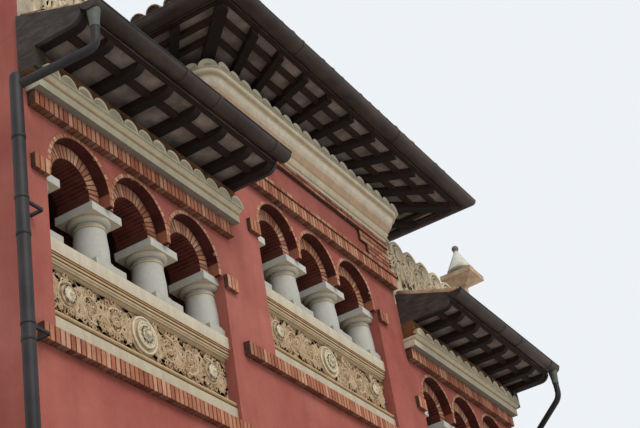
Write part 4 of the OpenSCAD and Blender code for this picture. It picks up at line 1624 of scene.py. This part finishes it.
@dataclass
class TileRoof:
    """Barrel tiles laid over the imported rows, with narrow pans between them and caps on the hips.

    Attributes:
        slope: Pitch of the roofs in radians.
        lap: Length of a tile that shows.
        length: Length of a tile.
        radius: Outer radius of a cover's wide end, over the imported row.
        cap: Outer radius of a cap on a hip or the ridge.
        thick: Thickness of a tile.
        narrow: Share of the width at its narrow end.
        bedding: Height of the rows' middle lines over the boards, on the sides and on the tower.
        over: How far the rows reach past the boards, on the sides and on the tower's flanks.
        front_over: How far they reach past them on the tower's front.
        drawn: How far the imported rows' ends are drawn up the tower's front slope.
        columns: Rows on a side roof, on the tower's front and on its flanks.
        rows: Tiles up a side roof and up the tower's.
        sag: Tilt of a tile against its slope, in degrees.
        verge: How far the side roofs' tiles reach past the boards' ends.
        slip: How far a cover's place errs across and along.
        seat: Height of a cover over its packed row.
        pan: How far a pan lies up the slope and over the rows' middle lines.
        flat: Shares of a cover's width and height that a pan has.
        chance: Seeded source of tones and unevenness.
        clay: Clay of the tiles.
    """

    slope: float = math.radians(20)
    lap: float = 0.31
    length: float = 0.40
    radius: float = 0.098
    cap: float = 0.118
    thick: float = 0.013
    narrow: float = 0.93
    bedding: Pair = (0.056, 0.115)
    over: Pair = (0.068, 0.133)
    front_over: float = 0.095
    drawn: float = 0.065
    columns: tuple[int, int, int] = (14, 25, 13)
    rows: tuple[int, int] = (3, 9)
    sag: float = -1.2
    verge: float = 0.012
    slip: Pair = (0.003, 0.012)
    seat: float = 0.004
    pan: Pair = (0.02, 0.030)
    flat: Pair = (0.5, 0.32)
    chance: random.Random = field(default_factory=lambda: random.Random(23))
    clay: Finish = ClayTile("barrel_tile", "roof_tile", 0.9, 0.008, 0.0015, 0.55, 0.07)

    def tile(self, radius: float) -> Piece:
        """Model one barrel tile, its wide end at the origin and its length along +Y.

        Args:
            radius: Radius at its wide end.

        Returns:
            The tile.
        """
        piece = primitive("cylinder", vertices=16, radius=radius, depth=self.length, end_fill_type="NOTHING",
                          rotation=(math.pi / 2, 0, 0), location=(0, self.length / 2, 0))
        with editing(piece):
            pick(piece, Part.VERTS, lambda middle: middle.z < -1e-4)
            bpy.ops.mesh.delete(type="VERT")
            pick(piece, Part.VERTS, lambda middle: middle.y > self.length / 2)
            bpy.ops.transform.resize(value=(self.narrow, 1, self.narrow), center_override=(0, self.length, 0))
            bpy.ops.mesh.select_all(action="SELECT")
            bpy.ops.mesh.normals_make_consistent(inside=False)
        modified(piece, "SOLIDIFY", thickness=self.thick, offset=-1)
        return smooth(piece)

    def field(self, name: str, start: Vector, across: Vector, up: Vector, columns: Sequence[float],
              rows: int) -> Piece:
        """Lay covers, and pans between them, over a slope.

        Args:
            name: Name of the joined piece.
            start: The eave's first corner, at the height of the rows' middle lines.
            across: Level unit vector along the eave.
            up: Unit vector up the slope.
            columns: Distance of each row from the corner.
            rows: Number of tiles up the slope.

        Returns:
            The joined piece.
        """
        basis = axes(across, up)
        tilt = Matrix.Rotation(math.radians(self.sag), 4, "X")
        step = columns[1] - columns[0]
        covers, pans = [], []
        for column in columns:
            for row in range(rows):
                spot = Matrix.Translation(start + across * column + up * row * self.lap) @ basis
                slip = Matrix.Translation((*[self.chance.uniform(-most, most) for most in self.slip],
                                           self.seat))
                covers.append((spot @ slip @ tilt, self.chance.random()))
                flip = Matrix.Translation((step / 2, *self.pan)) @ Matrix.Rotation(math.pi, 4, "Y")
                shape = Matrix.Diagonal((self.flat[0], 1, self.flat[1], 1))
                pans.append((spot @ flip @ shape, self.chance.random()))
        return joined(name, [copies("covers", self.tile(self.radius), covers),
                             copies("pans", self.tile(self.radius), pans)])

    def caps(self, name: str, start: Vector, end: Vector) -> Piece:
        """Lay a line of cap tiles over a hip or ridge, from its foot up.

        Args:
            name: Name of the line.
            start: Its foot.
            end: Its head.

        Returns:
            The line as one piece.
        """
        along = end - start
        count = max(1, int(along.length / self.lap))
        up = along.normalized()
        across = up.cross(Vector((0, 0, 1))).normalized()
        basis = axes(across, up)
        tilt = Matrix.Rotation(math.radians(self.sag), 4, "X")
        places = [(Matrix.Translation(start + up * k * along.length / count) @ basis @ tilt,
                   self.chance.random()) for k in range(count)]
        return copies(name, self.tile(self.cap), places)

    def sides(self) -> None:
        """Tile the two lean-to roofs between their verge boards."""
        parts = []
        rise = math.tan(self.slope)
        for low, high in solids("eave_boards_sides"):
            step = (high.x - low.x) / self.columns[0]
            start = Vector((low.x, low.y - self.over[0],
                            high.z + self.bedding[0] - self.over[0] * rise))
            slope = self.field("slope", start, Vector((1, 0, 0)),
                               Vector((0, math.cos(self.slope), math.sin(self.slope))),
                               [(k + 0.5) * step for k in range(self.columns[0])], self.rows[0])
            cut(slope, Vector((0, FACE - 0.001, 0)), Vector((0, 1, 0)))
            cut(slope, Vector((low.x - self.verge, 0, 0)), Vector((-1, 0, 0)))
            cut(slope, Vector((high.x + self.verge, 0, 0)), Vector((1, 0, 0)))
            parts.append(slope)
        hand_over(joined("tiles_side_roofs", parts), self.clay)

    def tower(self) -> None:
        """Tile the tower's three slopes, mitre them at the hips and cap the hips and ridge."""
        low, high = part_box("eave_boards_tower")
        rise, run, climb = math.tan(self.slope), math.cos(self.slope), math.sin(self.slope)
        half, over = high.x, self.over[1]
        eave = high.z + self.bedding[1]
        apex = Vector((0, low.y + half, eave + half * rise))
        level = eave - over * rise
        step = 2 * half / self.columns[1]
        front = self.field("front", Vector((low.x, low.y - self.front_over, eave - self.front_over * rise)),
                           Vector((1, 0, 0)), Vector((0, run, climb)),
                           [(k + 0.5) * step for k in range(self.columns[1])], self.rows[1])
        parts = [front]
        for hand in (-1, 1):
            corner = Vector((hand * half, low.y, 0))
            cut(front, corner, Vector((hand, 1, 0)).normalized())
            spots = [(k + 0.5) * step for k in range(self.columns[2])]
            if hand < 0:
                spots = [high.y - low.y - spot for spot in reversed(spots)]
            start = Vector((hand * (half + over), low.y if hand > 0 else high.y, level))
            flank = self.field("flank", start, Vector((0, hand, 0)), Vector((-hand * run, 0, climb)), spots,
                               self.rows[1])
            cut(flank, corner, Vector((-hand, -1, 0)).normalized())
            cut(flank, Vector((0, 0, 0)), Vector((-hand, 0, 0)))
            cut(flank, Vector((0, high.y, 0)), Vector((0, 1, 0)))
            parts.append(flank)
            foot = Vector((hand * (half + 0.03), low.y - 0.03, eave - 0.03 * rise))
            parts.append(self.caps("hip", foot, apex))
        parts.append(self.caps("ridge", Vector((0, high.y, apex.z)), apex))
        hand_over(joined("tiles_tower_roof", parts), self.clay)

    def bedded(self, finish: Finish) -> None:
        """Copy the tower's packed roof and draw the front rows' ends up, behind the gutter's lip.

        Args:
            finish: The roof's finish.
        """
        piece = adopted("tower_roof", "shaped_tower_roof")
        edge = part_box("eave_boards_tower")[0].y - 0.010
        with editing(piece):
            pick(piece, Part.VERTS, lambda at: at.y < edge)
            bpy.ops.transform.translate(value=(0, self.drawn, self.drawn * math.tan(self.slope)))
        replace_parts(hand_over(piece, finish), "tower_roof")

    def build(self) -> None:
        """Tile all roofs and dress what lies under the tiles."""
        self.sides()
        self.tower()
        bed = ClayTile("tile_bedding", "roof_tile", 0.95, 0.01, 0.002, 0.4, 0.08, ("#4E3A30", "#6A5446"))
        self.bedded(bed)
        dress(["side_roofs"], bed)


@dataclass
class Eaves:
    """The timber under the roofs.

    Attributes:
        strip: Width that the strip at a side eave's edge gains inwards.
        fascia: Depth that is left of the board at the tower's edge.
        tower_plate: Reach of the tower's plate from the wall face.
        closure: Length of the dark board over a side plate's outer end.
    """

    strip: float = 0.024
    fascia: float = 0.024
    tower_plate: float = 0.176
    closure: float = 0.13

    def battens(self, finish: Finish) -> None:
        """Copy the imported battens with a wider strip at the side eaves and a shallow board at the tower's.

        Args:
            finish: Their finish.
        """
        piece = adopted("eave_battens", "shaped_battens")
        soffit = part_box("eave_battens")[1].z
        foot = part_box("rafters_tower")[0].z
        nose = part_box("rafters_left")[0].y
        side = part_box("eave_boards_sides")[1].z
        with editing(piece):
            pick(piece, Part.VERTS, lambda at: side < at.z < foot + 0.001)
            bpy.ops.transform.translate(value=(0, 0, soffit - self.fascia - foot))
            pick(piece, Part.VERTS, lambda at: at.z < side and nose - 0.001 < at.y < nose + 0.001)
            bpy.ops.transform.translate(value=(0, self.strip, 0))
        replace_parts(hand_over(piece, finish), "eave_battens")

    def plates(self, finish: Finish) -> None:
        """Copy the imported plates, round the tower's corners, and close the outer ends with dark boards.

        Args:
            finish: Their finish.
        """
        piece = adopted("wall_plates", "shaped_wall_plates")
        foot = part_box("tile_row_tower")[0].z
        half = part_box("wall_tower")[1].x
        with editing(piece, Part.EDGES, whole=True):
            bpy.ops.mesh.dissolve_limited(angle_limit=0.001)
            pick(piece, Part.EDGES, lambda at: at.z > foot + 0.01 and at.y < FACE - self.tower_plate + 0.001
                 and abs(abs(at.x) - half - self.tower_plate) < 0.001 and at.z < foot + 0.11)
            bpy.ops.mesh.bevel(offset=self.tower_plate + CORNER_INSET, segments=8, affect="EDGES")
        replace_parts(hand_over(smooth(piece), finish), "wall_plates")
        low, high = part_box("wall_plates")
        ends = []
        for hand in (-1, 1):
            outer, inner = hand * (high.x + 0.003), hand * (high.x - self.closure)
            end = cube(Vector((min(outer, inner), low.y - 0.004, low.z + 0.004)),
                       Vector((max(outer, inner), FACE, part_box("rafters_left")[0].z)))
            ends.append(chamfered(end, 0.004))
        dark = SawnTimber("sooty_end_board", "timber", 0.9, 0.05, 0.003, 0.35, 0.1, ("#2C2622", "#47403A"),
                          "#57504A", 0.3)
        hand_over(joined("plate_end_boards", ends), dark)

    def build(self) -> None:
        """Dress the rafters, battens, boards and plates."""
        # The rafters' and battens' undersides take a strong painted shade, through under.
        dark = SawnTimber("stained_pine", "timber", 0.8, 0.05, 0.0015, 0.35, 0.1, ("#221713", "#3A241B"),
                          "#56301E", 0.25, under=0.2)
        dress(["rafters_left", "rafters_right", "rafters_tower"], dark)
        self.battens(SawnTimber("stained_batten", "timber", 0.8, 0.05, 0.0015, 0.35, 0.1,
                                ("#2A1B16", "#46291C"), "#563424", 0.15, (0.8, 9.0, 9.0), 0.45))
        board = SawnTimber("ochre_board", "timber", 0.85, 0.05, 0.0015, 0.3, 0.1,
                           ("#54361E", "#7A522E"), "#33241A", 0.55, (0.8, 9.0, 9.0))
        self.plates(board)
        verge = SawnTimber("greyed_board", "timber", 0.9, 0.05, 0.003, 0.35, 0.1,
                           ("#352F2C", "#4E4643"), "#625A54", 0.2, (1.5, 0.7, 2.0))
        dress(["verge_boards"], verge)
        panel = LimedClay("limed_clay", "eave_board", 0.92, 0.01, 0.0015, 0.3, 0.12)
        dress(["eave_boards_sides", "eave_boards_tower"], panel)


@dataclass
class Rainwater:
    """Half-round gutters with beaded lips, and swan necks that run down to the pipes.

    Attributes:
        side_radius: Radius of the side gutters.
        tower_radius: Radius of the tower gutter.
        bead: Radius of the bead along a lip.
        neck: Radius of a swan neck.
        pipe: Radius of a downpipe.
        band: Length of a slip joint.
        bend: Length taken off each side of a neck's bend.
        heads: Height of each pipe's head over the springing, left and right.
        drop: How far under its head a pipe takes its neck.
        elbow: How far under the gutter's lip a neck bends.
        joints: Shares of a side gutter's length at which its lengths meet.
        laps: X of the joints of the tower's gutter.
        outlet: Distance of a side gutter's outlet from its outer end.
        beside: Distance of a pipe's middle from the wall's end.
        before: Its distance from the wall's face.
        collars: Heights of a pipe's collars.
        straps: Height of its lower strap, and how far its upper one lies under the springing.
        arm: Length of a strap's stem.
    """

    side_radius: float = 0.084
    tower_radius: float = 0.096
    bead: float = 0.013
    neck: float = 0.038
    pipe: float = 0.052
    band: float = 0.045
    bend: float = 0.09
    heads: Pair = (0.596, 0.406)
    drop: float = 0.13
    elbow: float = 0.430
    joints: Triple = (0.43, 0.60, 0.92)
    laps: Pair = (-1.35, 0.75)
    outlet: float = 0.068
    beside: float = 0.198
    before: float = 0.112
    collars: Triple = (0.75, 1.62, 2.49)
    straps: Pair = (0.875, 0.58)
    arm: float = 0.228
    paint: Finish = PaintedSheet("painted_gutter_sheet", "gutter_metal", 0.5, 0.02, 0.0006, 0.2, 0.08)
    iron: Finish = PaintedSheet("painted_pipe_iron", "pipe_iron", 0.55, 0.01, 0.0006, 0.2, 0.08,
                                ("#1E1B1C", "#2D292A"), "#3A3230", 0.1)
    # Painted shade: the lip bead is painted near black, a shadow line along the gutter's lip.
    rim: Finish = PaintedSheet("painted_shade_gutter_bead", "gutter_metal", 0.5, 0.01, 0.0004, 0.2, 0.05,
                               ("#0E1116", "#171A20"), "#2A2624", 0.1)

    def half_round(self, node: str, radius: float) -> Piece:
        """Draw up a packed gutter's straight sides, which leaves its half-round trough.

        Args:
            node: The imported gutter.
            radius: Radius of its trough.

        Returns:
            The gutter as a new piece.
        """
        piece = adopted(node, f"half_round_{node}")
        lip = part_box(node)[1].z
        with editing(piece):
            pick(piece, Part.VERTS, lambda at: at.z < lip - 1e-4)
            bpy.ops.transform.translate(value=(0, 0, radius))
            bpy.ops.mesh.select_all(action="SELECT")
            bpy.ops.mesh.remove_doubles(threshold=1e-4)
        return smooth(toned(piece), 25)

    def trough(self, radius: float, length: float) -> Piece:
        """Model a half-round sleeve round a gutter, open above and along X.

        Args:
            radius: Inner radius.
            length: Length along X.

        Returns:
            The sleeve, about the origin.
        """
        piece = primitive("cylinder", vertices=32, radius=radius, depth=length, end_fill_type="NOTHING",
                          rotation=(0, math.pi / 2, 0))
        with editing(piece):
            pick(piece, Part.VERTS, lambda middle: middle.z > 1e-4)
            bpy.ops.mesh.delete(type="VERT")
            bpy.ops.mesh.select_all(action="SELECT")
            bpy.ops.mesh.normals_make_consistent(inside=False)
        modified(piece, "SOLIDIFY", thickness=0.004, offset=1)
        return smooth(piece)

    def sleeves(self, radius: float, places: Sequence[Matrix]) -> Piece:
        """Set slip joints at places along a gutter."""
        return copies("joints", self.trough(radius + 0.001, self.band), [(place, PLAIN) for place in places])

    def side_gutters(self) -> None:
        """Shape the side gutters and fit joints and a lip bead to each."""
        parts = [self.half_round("gutters_sides", self.side_radius)]
        rims = []
        for low, high in solids("gutters_sides"):
            middle = Vector((0, low.y + self.side_radius, high.z))
            joints = [middle + Vector((low.x + share * (high.x - low.x), 0, 0)) for share in self.joints]
            parts.append(self.sleeves(self.side_radius, [Matrix.Translation(joint) for joint in joints]))
            lip = [Vector((x, low.y + self.bead / 2, high.z)) for x in (low.x, high.x)]
            rims.append(tube("bead", lip, self.bead, 3))
        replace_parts(hand_over(joined("half_round_gutters_sides", parts), self.paint), "gutters_sides")
        hand_over(smooth(joined("side_gutter_beads", rims)), self.rim)

    def tower_gutter(self) -> None:
        """Shape the tower's gutter and fit joints and a lip bead round both corners."""
        low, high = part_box("gutter_tower")
        parts = [self.half_round("gutter_tower", self.tower_radius)]
        quarter = Matrix.Rotation(math.pi / 2, 4, "Z")
        places = [Matrix.Translation((x, low.y + self.tower_radius, high.z)) for x in self.laps]
        for x in (low.x + self.tower_radius, high.x - self.tower_radius):
            places.append(Matrix.Translation((x, 0, high.z)) @ quarter)
        parts.append(self.sleeves(self.tower_radius, places))
        left, right, near = low.x + self.bead / 2, high.x - self.bead / 2, low.y + self.bead / 2
        rim = tube("tower_gutter_bead", [Vector((left, high.y, high.z)), Vector((left, near, high.z)),
                                         Vector((right, near, high.z)), Vector((right, high.y, high.z))],
                   self.bead, 3)
        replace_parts(hand_over(joined("half_round_gutter_tower", parts), self.paint), "gutter_tower")
        hand_over(smooth(rim), self.rim)

    def funnel(self, mouth: Vector) -> Piece:
        """Model the outlet that narrows from the gutter to its neck.

        Args:
            mouth: Where the gutter lets out.

        Returns:
            The outlet.
        """
        piece = primitive("cone", vertices=28, radius1=1.12 * self.neck, radius2=0.72 * self.side_radius,
                          depth=0.15, location=mouth - Vector((0, 0, 0.035)))
        with editing(piece, Part.FACES):
            pick(piece, Part.FACES, lambda middle: middle.z < mouth.z - 0.105)
            bpy.ops.mesh.extrude_region_move(TRANSFORM_OT_translate={"value": (0, 0, -0.045)})
        return toned(chamfered(piece, 0.003))

    def pipes(self) -> None:
        """Sweep each neck in one smooth line down to its domed pipe and fit straps that hold it."""
        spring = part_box("columns_left")[1].z
        runs, funnels = [], []
        for hand, head, (low, high) in zip((-1, 1), self.heads, solids("gutters_sides")):
            end = high.x if hand > 0 else low.x
            mouth = Vector((end - hand * self.outlet, low.y + self.side_radius, high.z - self.side_radius))
            shaft = Vector((hand * (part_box("wall_right")[1].x + self.beside), FACE - self.before, 0))
            top = spring + head
            line = [mouth, Vector((mouth.x, mouth.y, high.z - self.elbow)),
                    Vector((shaft.x, shaft.y, top - self.drop))]
            parts = [tube("neck", eased(line, self.bend, 8), self.neck, 5)]
            funnels.append(self.funnel(mouth))
            run = [Vector((shaft.x, shaft.y, z)) for z in (0, top - 0.05, top - 0.022, top - 0.006, top)]
            parts.append(tube("shaft", run, self.pipe, 6, (1, 1, 0.86, 0.55, 0.15)))
            for level in self.collars:
                parts.append(self.collar(Vector((shaft.x, shaft.y, level)), self.pipe, 0.035))
            for level in (self.straps[0], spring - self.straps[1]):
                parts.append(self.strap(Vector((shaft.x, shaft.y, level)), hand))
            runs.append(smooth(joined("run", parts)))
        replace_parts(hand_over(joined("downpipe_runs", runs), self.iron), "downpipes")
        zinc = PaintedSheet("weathered_zinc", "pipe_iron", 0.6, 0.01, 0.0006, 0.3, 0.08,
                            ("#3C403C", "#6A6E66"), "#2E2C2A", 0.3)
        hand_over(smooth(joined("outlet_funnels", funnels)), zinc)

    def collar(self, place: Vector, radius: float, length: float) -> Piece:
        """Model one socket collar round an upright pipe, with rolled rims.

        Args:
            place: Its middle.
            radius: The pipe's radius.
            length: Its height.

        Returns:
            The collar.
        """
        piece = primitive("cylinder", vertices=28, radius=1.09 * radius, depth=length, location=place)
        with editing(piece, Part.FACES):
            pick(piece, Part.FACES, lambda middle: abs(middle.z - place.z) > 0.49 * length)
            bpy.ops.mesh.inset(thickness=0.003, depth=0.002)
        return toned(chamfered(piece, 0.001))

    def strap(self, place: Vector, hand: int) -> Piece:
        """Model a strap round a pipe, with a stem that runs across to the wall's end and back to its face.

        Args:
            place: Where it holds the pipe.
            hand: -1 or 1, the side of the house.

        Returns:
            The strap.
        """
        inner = place.x - hand * self.arm
        half = 0.012
        stem = cube(Vector((min(inner, place.x), place.y - half, place.z - half)),
                    Vector((max(inner, place.x), place.y + half, place.z + half)))
        arm = cube(Vector((inner - half, place.y, place.z - half)),
                   Vector((inner + half, FACE, place.z + half)))
        parts = [toned(chamfered(part, 0.002)) for part in (stem, arm)]
        return joined("strap", [self.collar(place, self.pipe, 0.024), *parts])

    def build(self) -> None:
        """Shape gutters and pipes."""
        self.side_gutters()
        self.tower_gutter()
        self.pipes()


@dataclass
class Skyline:
    """Scrolls and leaves on the crestings, rings on the urns and render on the piers' outer sides.

    Attributes:
        pitch: Spacing of the lobes.
        inset: Distance of the first lobe from the cresting's end.
        radius: Radius of a lobe.
        count: Number of whole lobes.
        pier: Width of a pier.
        cap: Height of a pier's cap.
        urn: Height of an urn over its pier.
        behind: Distance of an urn's axis from the wall's face.
        rings: Radius, height and thickness of each ring on an urn.
        stone: Mottled cast stone of the crestings.
    """

    pitch: float = 0.35
    inset: float = 0.2765
    radius: float = 0.19
    count: int = 7
    pier: float = 0.216
    cap: float = 0.98
    urn: float = 1.0032
    behind: float = 0.151
    rings: tuple[Triple, ...] = (
        (0.088, 0.040, 0.014), (0.050, 0.135, 0.012), (0.050, 0.325, 0.012),
        (0.184, 0.545, 0.016), (0.150, 0.640, 0.007), (0.030, 0.908, 0.008))
    stone: Finish = WeatheredStone("weathered_cast_stone", "crest_stone", 0.92, 0.02, 0.005, 0.4, 0.05,
                                   0.0, 6.0, ((0.0, "#D6C5A6"), (1.0, "#D6C5A6")), "#958F7C", 0.75)

    def volute(self, hand: int) -> Piece:
        """Model one spiral about the origin in the plane of the slab.

        Args:
            hand: -1 or 1, the way that it winds.

        Returns:
            A tapering spiral rib.
        """
        steps = 36
        line, taper = [], []
        for k in range(steps + 1):
            share = k / steps
            reach = 0.84 * self.radius * (1 - 0.62 * share)
            angle = -0.3 * math.pi + hand * 2 * math.pi * 1.25 * share
            line.append(Vector((hand * reach * math.cos(angle), 0, reach * math.sin(angle))))
            taper.append(1.3 - 0.6 * share)
        return tube("volute", line, 0.019, 2, taper)

    def crest(self) -> None:
        """Wind a volute on each lobe and fan leaves under it, front and back."""
        parts = []
        for hand, (low, high) in zip((-1, 1), solids("cresting")):
            end = high.x if hand > 0 else low.x
            level = high.z - self.radius
            for face, turn in ((FACE, 1), (high.y, -1)):
                spots = [Vector((end - hand * (self.inset + k * self.pitch), face, level))
                         for k in range(self.count)]
                parts.append(copies("volutes", self.volute(hand),
                                    [(Matrix.Translation(spot), PLAIN) for spot in spots]))
                leaves = []
                for spot in spots:
                    slab = Matrix.Translation(spot) @ Matrix.Diagonal((1, turn, 1, 1)) @ UPRIGHT
                    for fan in range(-3, 4):
                        lean = Matrix.Rotation(math.radians(-90 + 24 * fan), 4, "Z")
                        leaves.append((slab @ lean @ Matrix.Translation((0.6 * self.radius, 0, 0))
                                       @ Matrix.Diagonal((1.5 * self.radius, 0.14, 0.16, 1)), PLAIN))
                parts.append(copies("leaves", leaf(), leaves))
        hand_over(smooth(joined("crest_scrolls", parts), 60), self.stone)

    def urns(self) -> None:
        """Add rings at foot, stem, rim and knob of each urn, and dress urns and piers."""
        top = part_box("pinnacles")[1].z - self.urn
        parts = []
        for hand in (-1, 1):
            axis = Vector((hand * (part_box("wall_right")[1].x - self.pier / 2), FACE + self.behind, top))
            for radius, level, thick in self.rings:
                ring = primitive("torus", major_radius=radius, minor_radius=thick, major_segments=32,
                                 minor_segments=8, location=axis + Vector((0, 0, level)))
                parts.append(toned(ring))
        bands = ((0.0, "#B8AA94"), (0.30, "#CDB89A"), (0.33, "#CFB092"), (0.49, "#C0A284"),
                 (0.52, "#8A8A70"), (0.575, "#8E8D74"), (0.60, "#C9C5B2"), (0.70, "#DAD7CA"),
                 (0.90, "#DAD8CC"), (0.925, "#77756C"))
        stone = WeatheredStone("banded_urn_stone", "crest_stone", 0.9, 0.01, 0.003, 0.5, 0.05,
                               top, 1.0, bands, "#74725E", 0.4)
        hand_over(smooth(joined("urn_mouldings", parts), 60), stone)
        dress(["pinnacles"], stone)

    def pier_sides(self, low: Vector, high: Vector) -> None:
        """Face the piers' outer sides with the wall's render.

        Args:
            low: Lowest corner on the left.
            high: Highest corner on the right.
        """
        plates = []
        for x in (low.x, high.x):
            plate = cube(Vector((x - 0.0015, FACE - 0.001, low.z - 0.02)),
                         Vector((x + 0.0015, FACE + 0.30, high.z)))
            plates.append(toned(chamfered(plate, 0.0005)))
        hand_over(joined("pier_side_render", plates), RED_RENDER)

    def build(self) -> None:
        """Carve the skyline and dress its solids."""
        self.crest()
        self.urns()
        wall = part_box("wall_right")[1]
        self.pier_sides(Vector((-wall.x, 0, wall.z)), Vector((wall.x, 0, wall.z + self.cap)))
        dress(["cresting"], self.stone)


@dataclass
class Studio:
    """The camera, the pale floor and the soft lamps.

    Attributes:
        yaw: Turn of the view from +Y towards +X, in degrees.
        climb: Upward tilt of the view in degrees.
        roll: Lean of the view in degrees.
        lens: Focal length in millimetres on a 36 mm sensor.
        beside: Distance from the middle of the front, along X.
        before: Distance before the wall face.
        under: Distance under the top of the side walls.
        sky: Strength of the world.
        key: Strength of the main lamp.
        spread: Width of the lamp in degrees.
        aim: Turns of the lamp about X and Z in degrees.
        ground: Size of the floor.
        far: How far the camera sees.
    """

    yaw: float = 64.284
    climb: float = 31.701
    roll: float = -10.252
    lens: float = 80.85
    beside: float = -11.921
    before: float = 5.860
    under: float = 7.817
    sky: float = 0.58
    key: float = 1.7
    spread: float = 35
    aim: Pair = (48, -22)
    ground: float = 60
    far: float = 200

    def sight(self, tree: Tree) -> Socket:
        """Tell the rays that the eye follows, straight, mirrored or through, from those that light.

        Args:
            tree: The material's or world's node tree.

        Returns:
            1 for a ray that the eye follows, or else 0.
        """
        path = add(tree, "LightPath")
        seen = path.outputs["Is Camera Ray"]
        for kind in ("Is Glossy Ray", "Is Transmission Ray"):
            seen = add(tree, "Math", {0: seen, 1: path.outputs[kind]}, operation="MAXIMUM").outputs[0]
        return seen

    def camera(self) -> None:
        """Stand the camera in the street, low down and to the left, as the photograph does."""
        yaw, climb, roll = (math.radians(a) for a in (self.yaw, self.climb, self.roll))
        ahead = Vector((math.sin(yaw) * math.cos(climb), math.cos(yaw) * math.cos(climb), math.sin(climb)))
        right = Vector((math.cos(yaw), -math.sin(yaw), 0))
        up = right.cross(ahead)
        side = math.cos(roll) * right + math.sin(roll) * up
        over = math.cos(roll) * up - math.sin(roll) * right
        data = bpy.data.cameras.new("camera")
        data.lens, data.sensor_width = self.lens, 36.0
        data.clip_end = self.far
        camera = bpy.data.objects.new("camera", data)
        turn = Matrix((side, over, -ahead)).transposed().to_4x4()
        spot = Vector((self.beside, FACE - self.before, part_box("wall_left")[1].z - self.under))
        camera.matrix_world = Matrix.Translation(spot) @ turn
        bpy.context.scene.collection.objects.link(camera)
        bpy.context.scene.camera = camera

    def floor(self) -> None:
        """Lay the floor. The camera stands below it, so it shows from above only."""
        floor = primitive("plane", size=self.ground, location=(0, 0, -0.001))
        floor.name = "floor"
        made = bpy.data.materials.new("pale_floor")
        made.use_nodes = True
        tree = made.node_tree
        tree.nodes.clear()
        tint = add(tree, "Mix", {MIX_FACTOR: self.sight(tree), MIX_A: linear("#F0EEEA"),
                                 MIX_B: linear("#DEDCD8")}, data_type="RGBA")
        paint = add(tree, "BsdfPrincipled", {"Base Color": tint.outputs[MIX_OUT], "Roughness": 0.9})
        clear = add(tree, "BsdfTransparent")
        under = add(tree, "NewGeometry").outputs["Backfacing"]
        mixed = add(tree, "MixShader", {0: under, 1: paint.outputs[0], 2: clear.outputs[0]})
        add(tree, "OutputMaterial", {"Surface": mixed.outputs[0]})
        floor.data.materials.append(made)

    def light(self) -> None:
        """Set a pale world that looks white behind the object, and one broad lamp."""
        world = bpy.data.worlds.new("studio")
        bpy.context.scene.world = world
        world.use_nodes = True
        tree = world.node_tree
        tree.nodes.clear()
        light = add(tree, "Background", {"Color": linear("#F2F5FA"), "Strength": self.sky})
        back = add(tree, "Background", {"Color": linear("#EEF2F6"), "Strength": 1.0})
        mixed = add(tree, "MixShader", {0: self.sight(tree), 1: light.outputs[0], 2: back.outputs[0]})
        add(tree, "OutputWorld", {"Surface": mixed.outputs[0]})
        data = bpy.data.lights.new("key", "SUN")
        data.energy = self.key
        data.angle = math.radians(self.spread)
        data.color = (1.0, 0.98, 0.95)
        lamp = bpy.data.objects.new("key", data)
        lamp.rotation_euler = (math.radians(self.aim[0]), 0, math.radians(self.aim[1]))
        bpy.context.scene.collection.objects.link(lamp)
        bpy.context.scene.view_settings.view_transform = "Standard"

    def build(self) -> None:
        """Set up camera, floor and light."""
        self.camera()
        self.floor()
        self.light()


def main() -> None:
    """Build everything in order."""
    logging.basicConfig(level=logging.INFO, format="%(name)s: %(message)s")
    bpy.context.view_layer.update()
    bays = [Bay.read(side) for side in Side]
    for assembly in (Studio(), Masonry(bays), Brickwork(bays), Carving(bays), TileEnds(), TileRoof(),
                     Eaves(), Rainwater(), Skyline()):
        assembly.build()


if __name__ == "__main__":
    main()
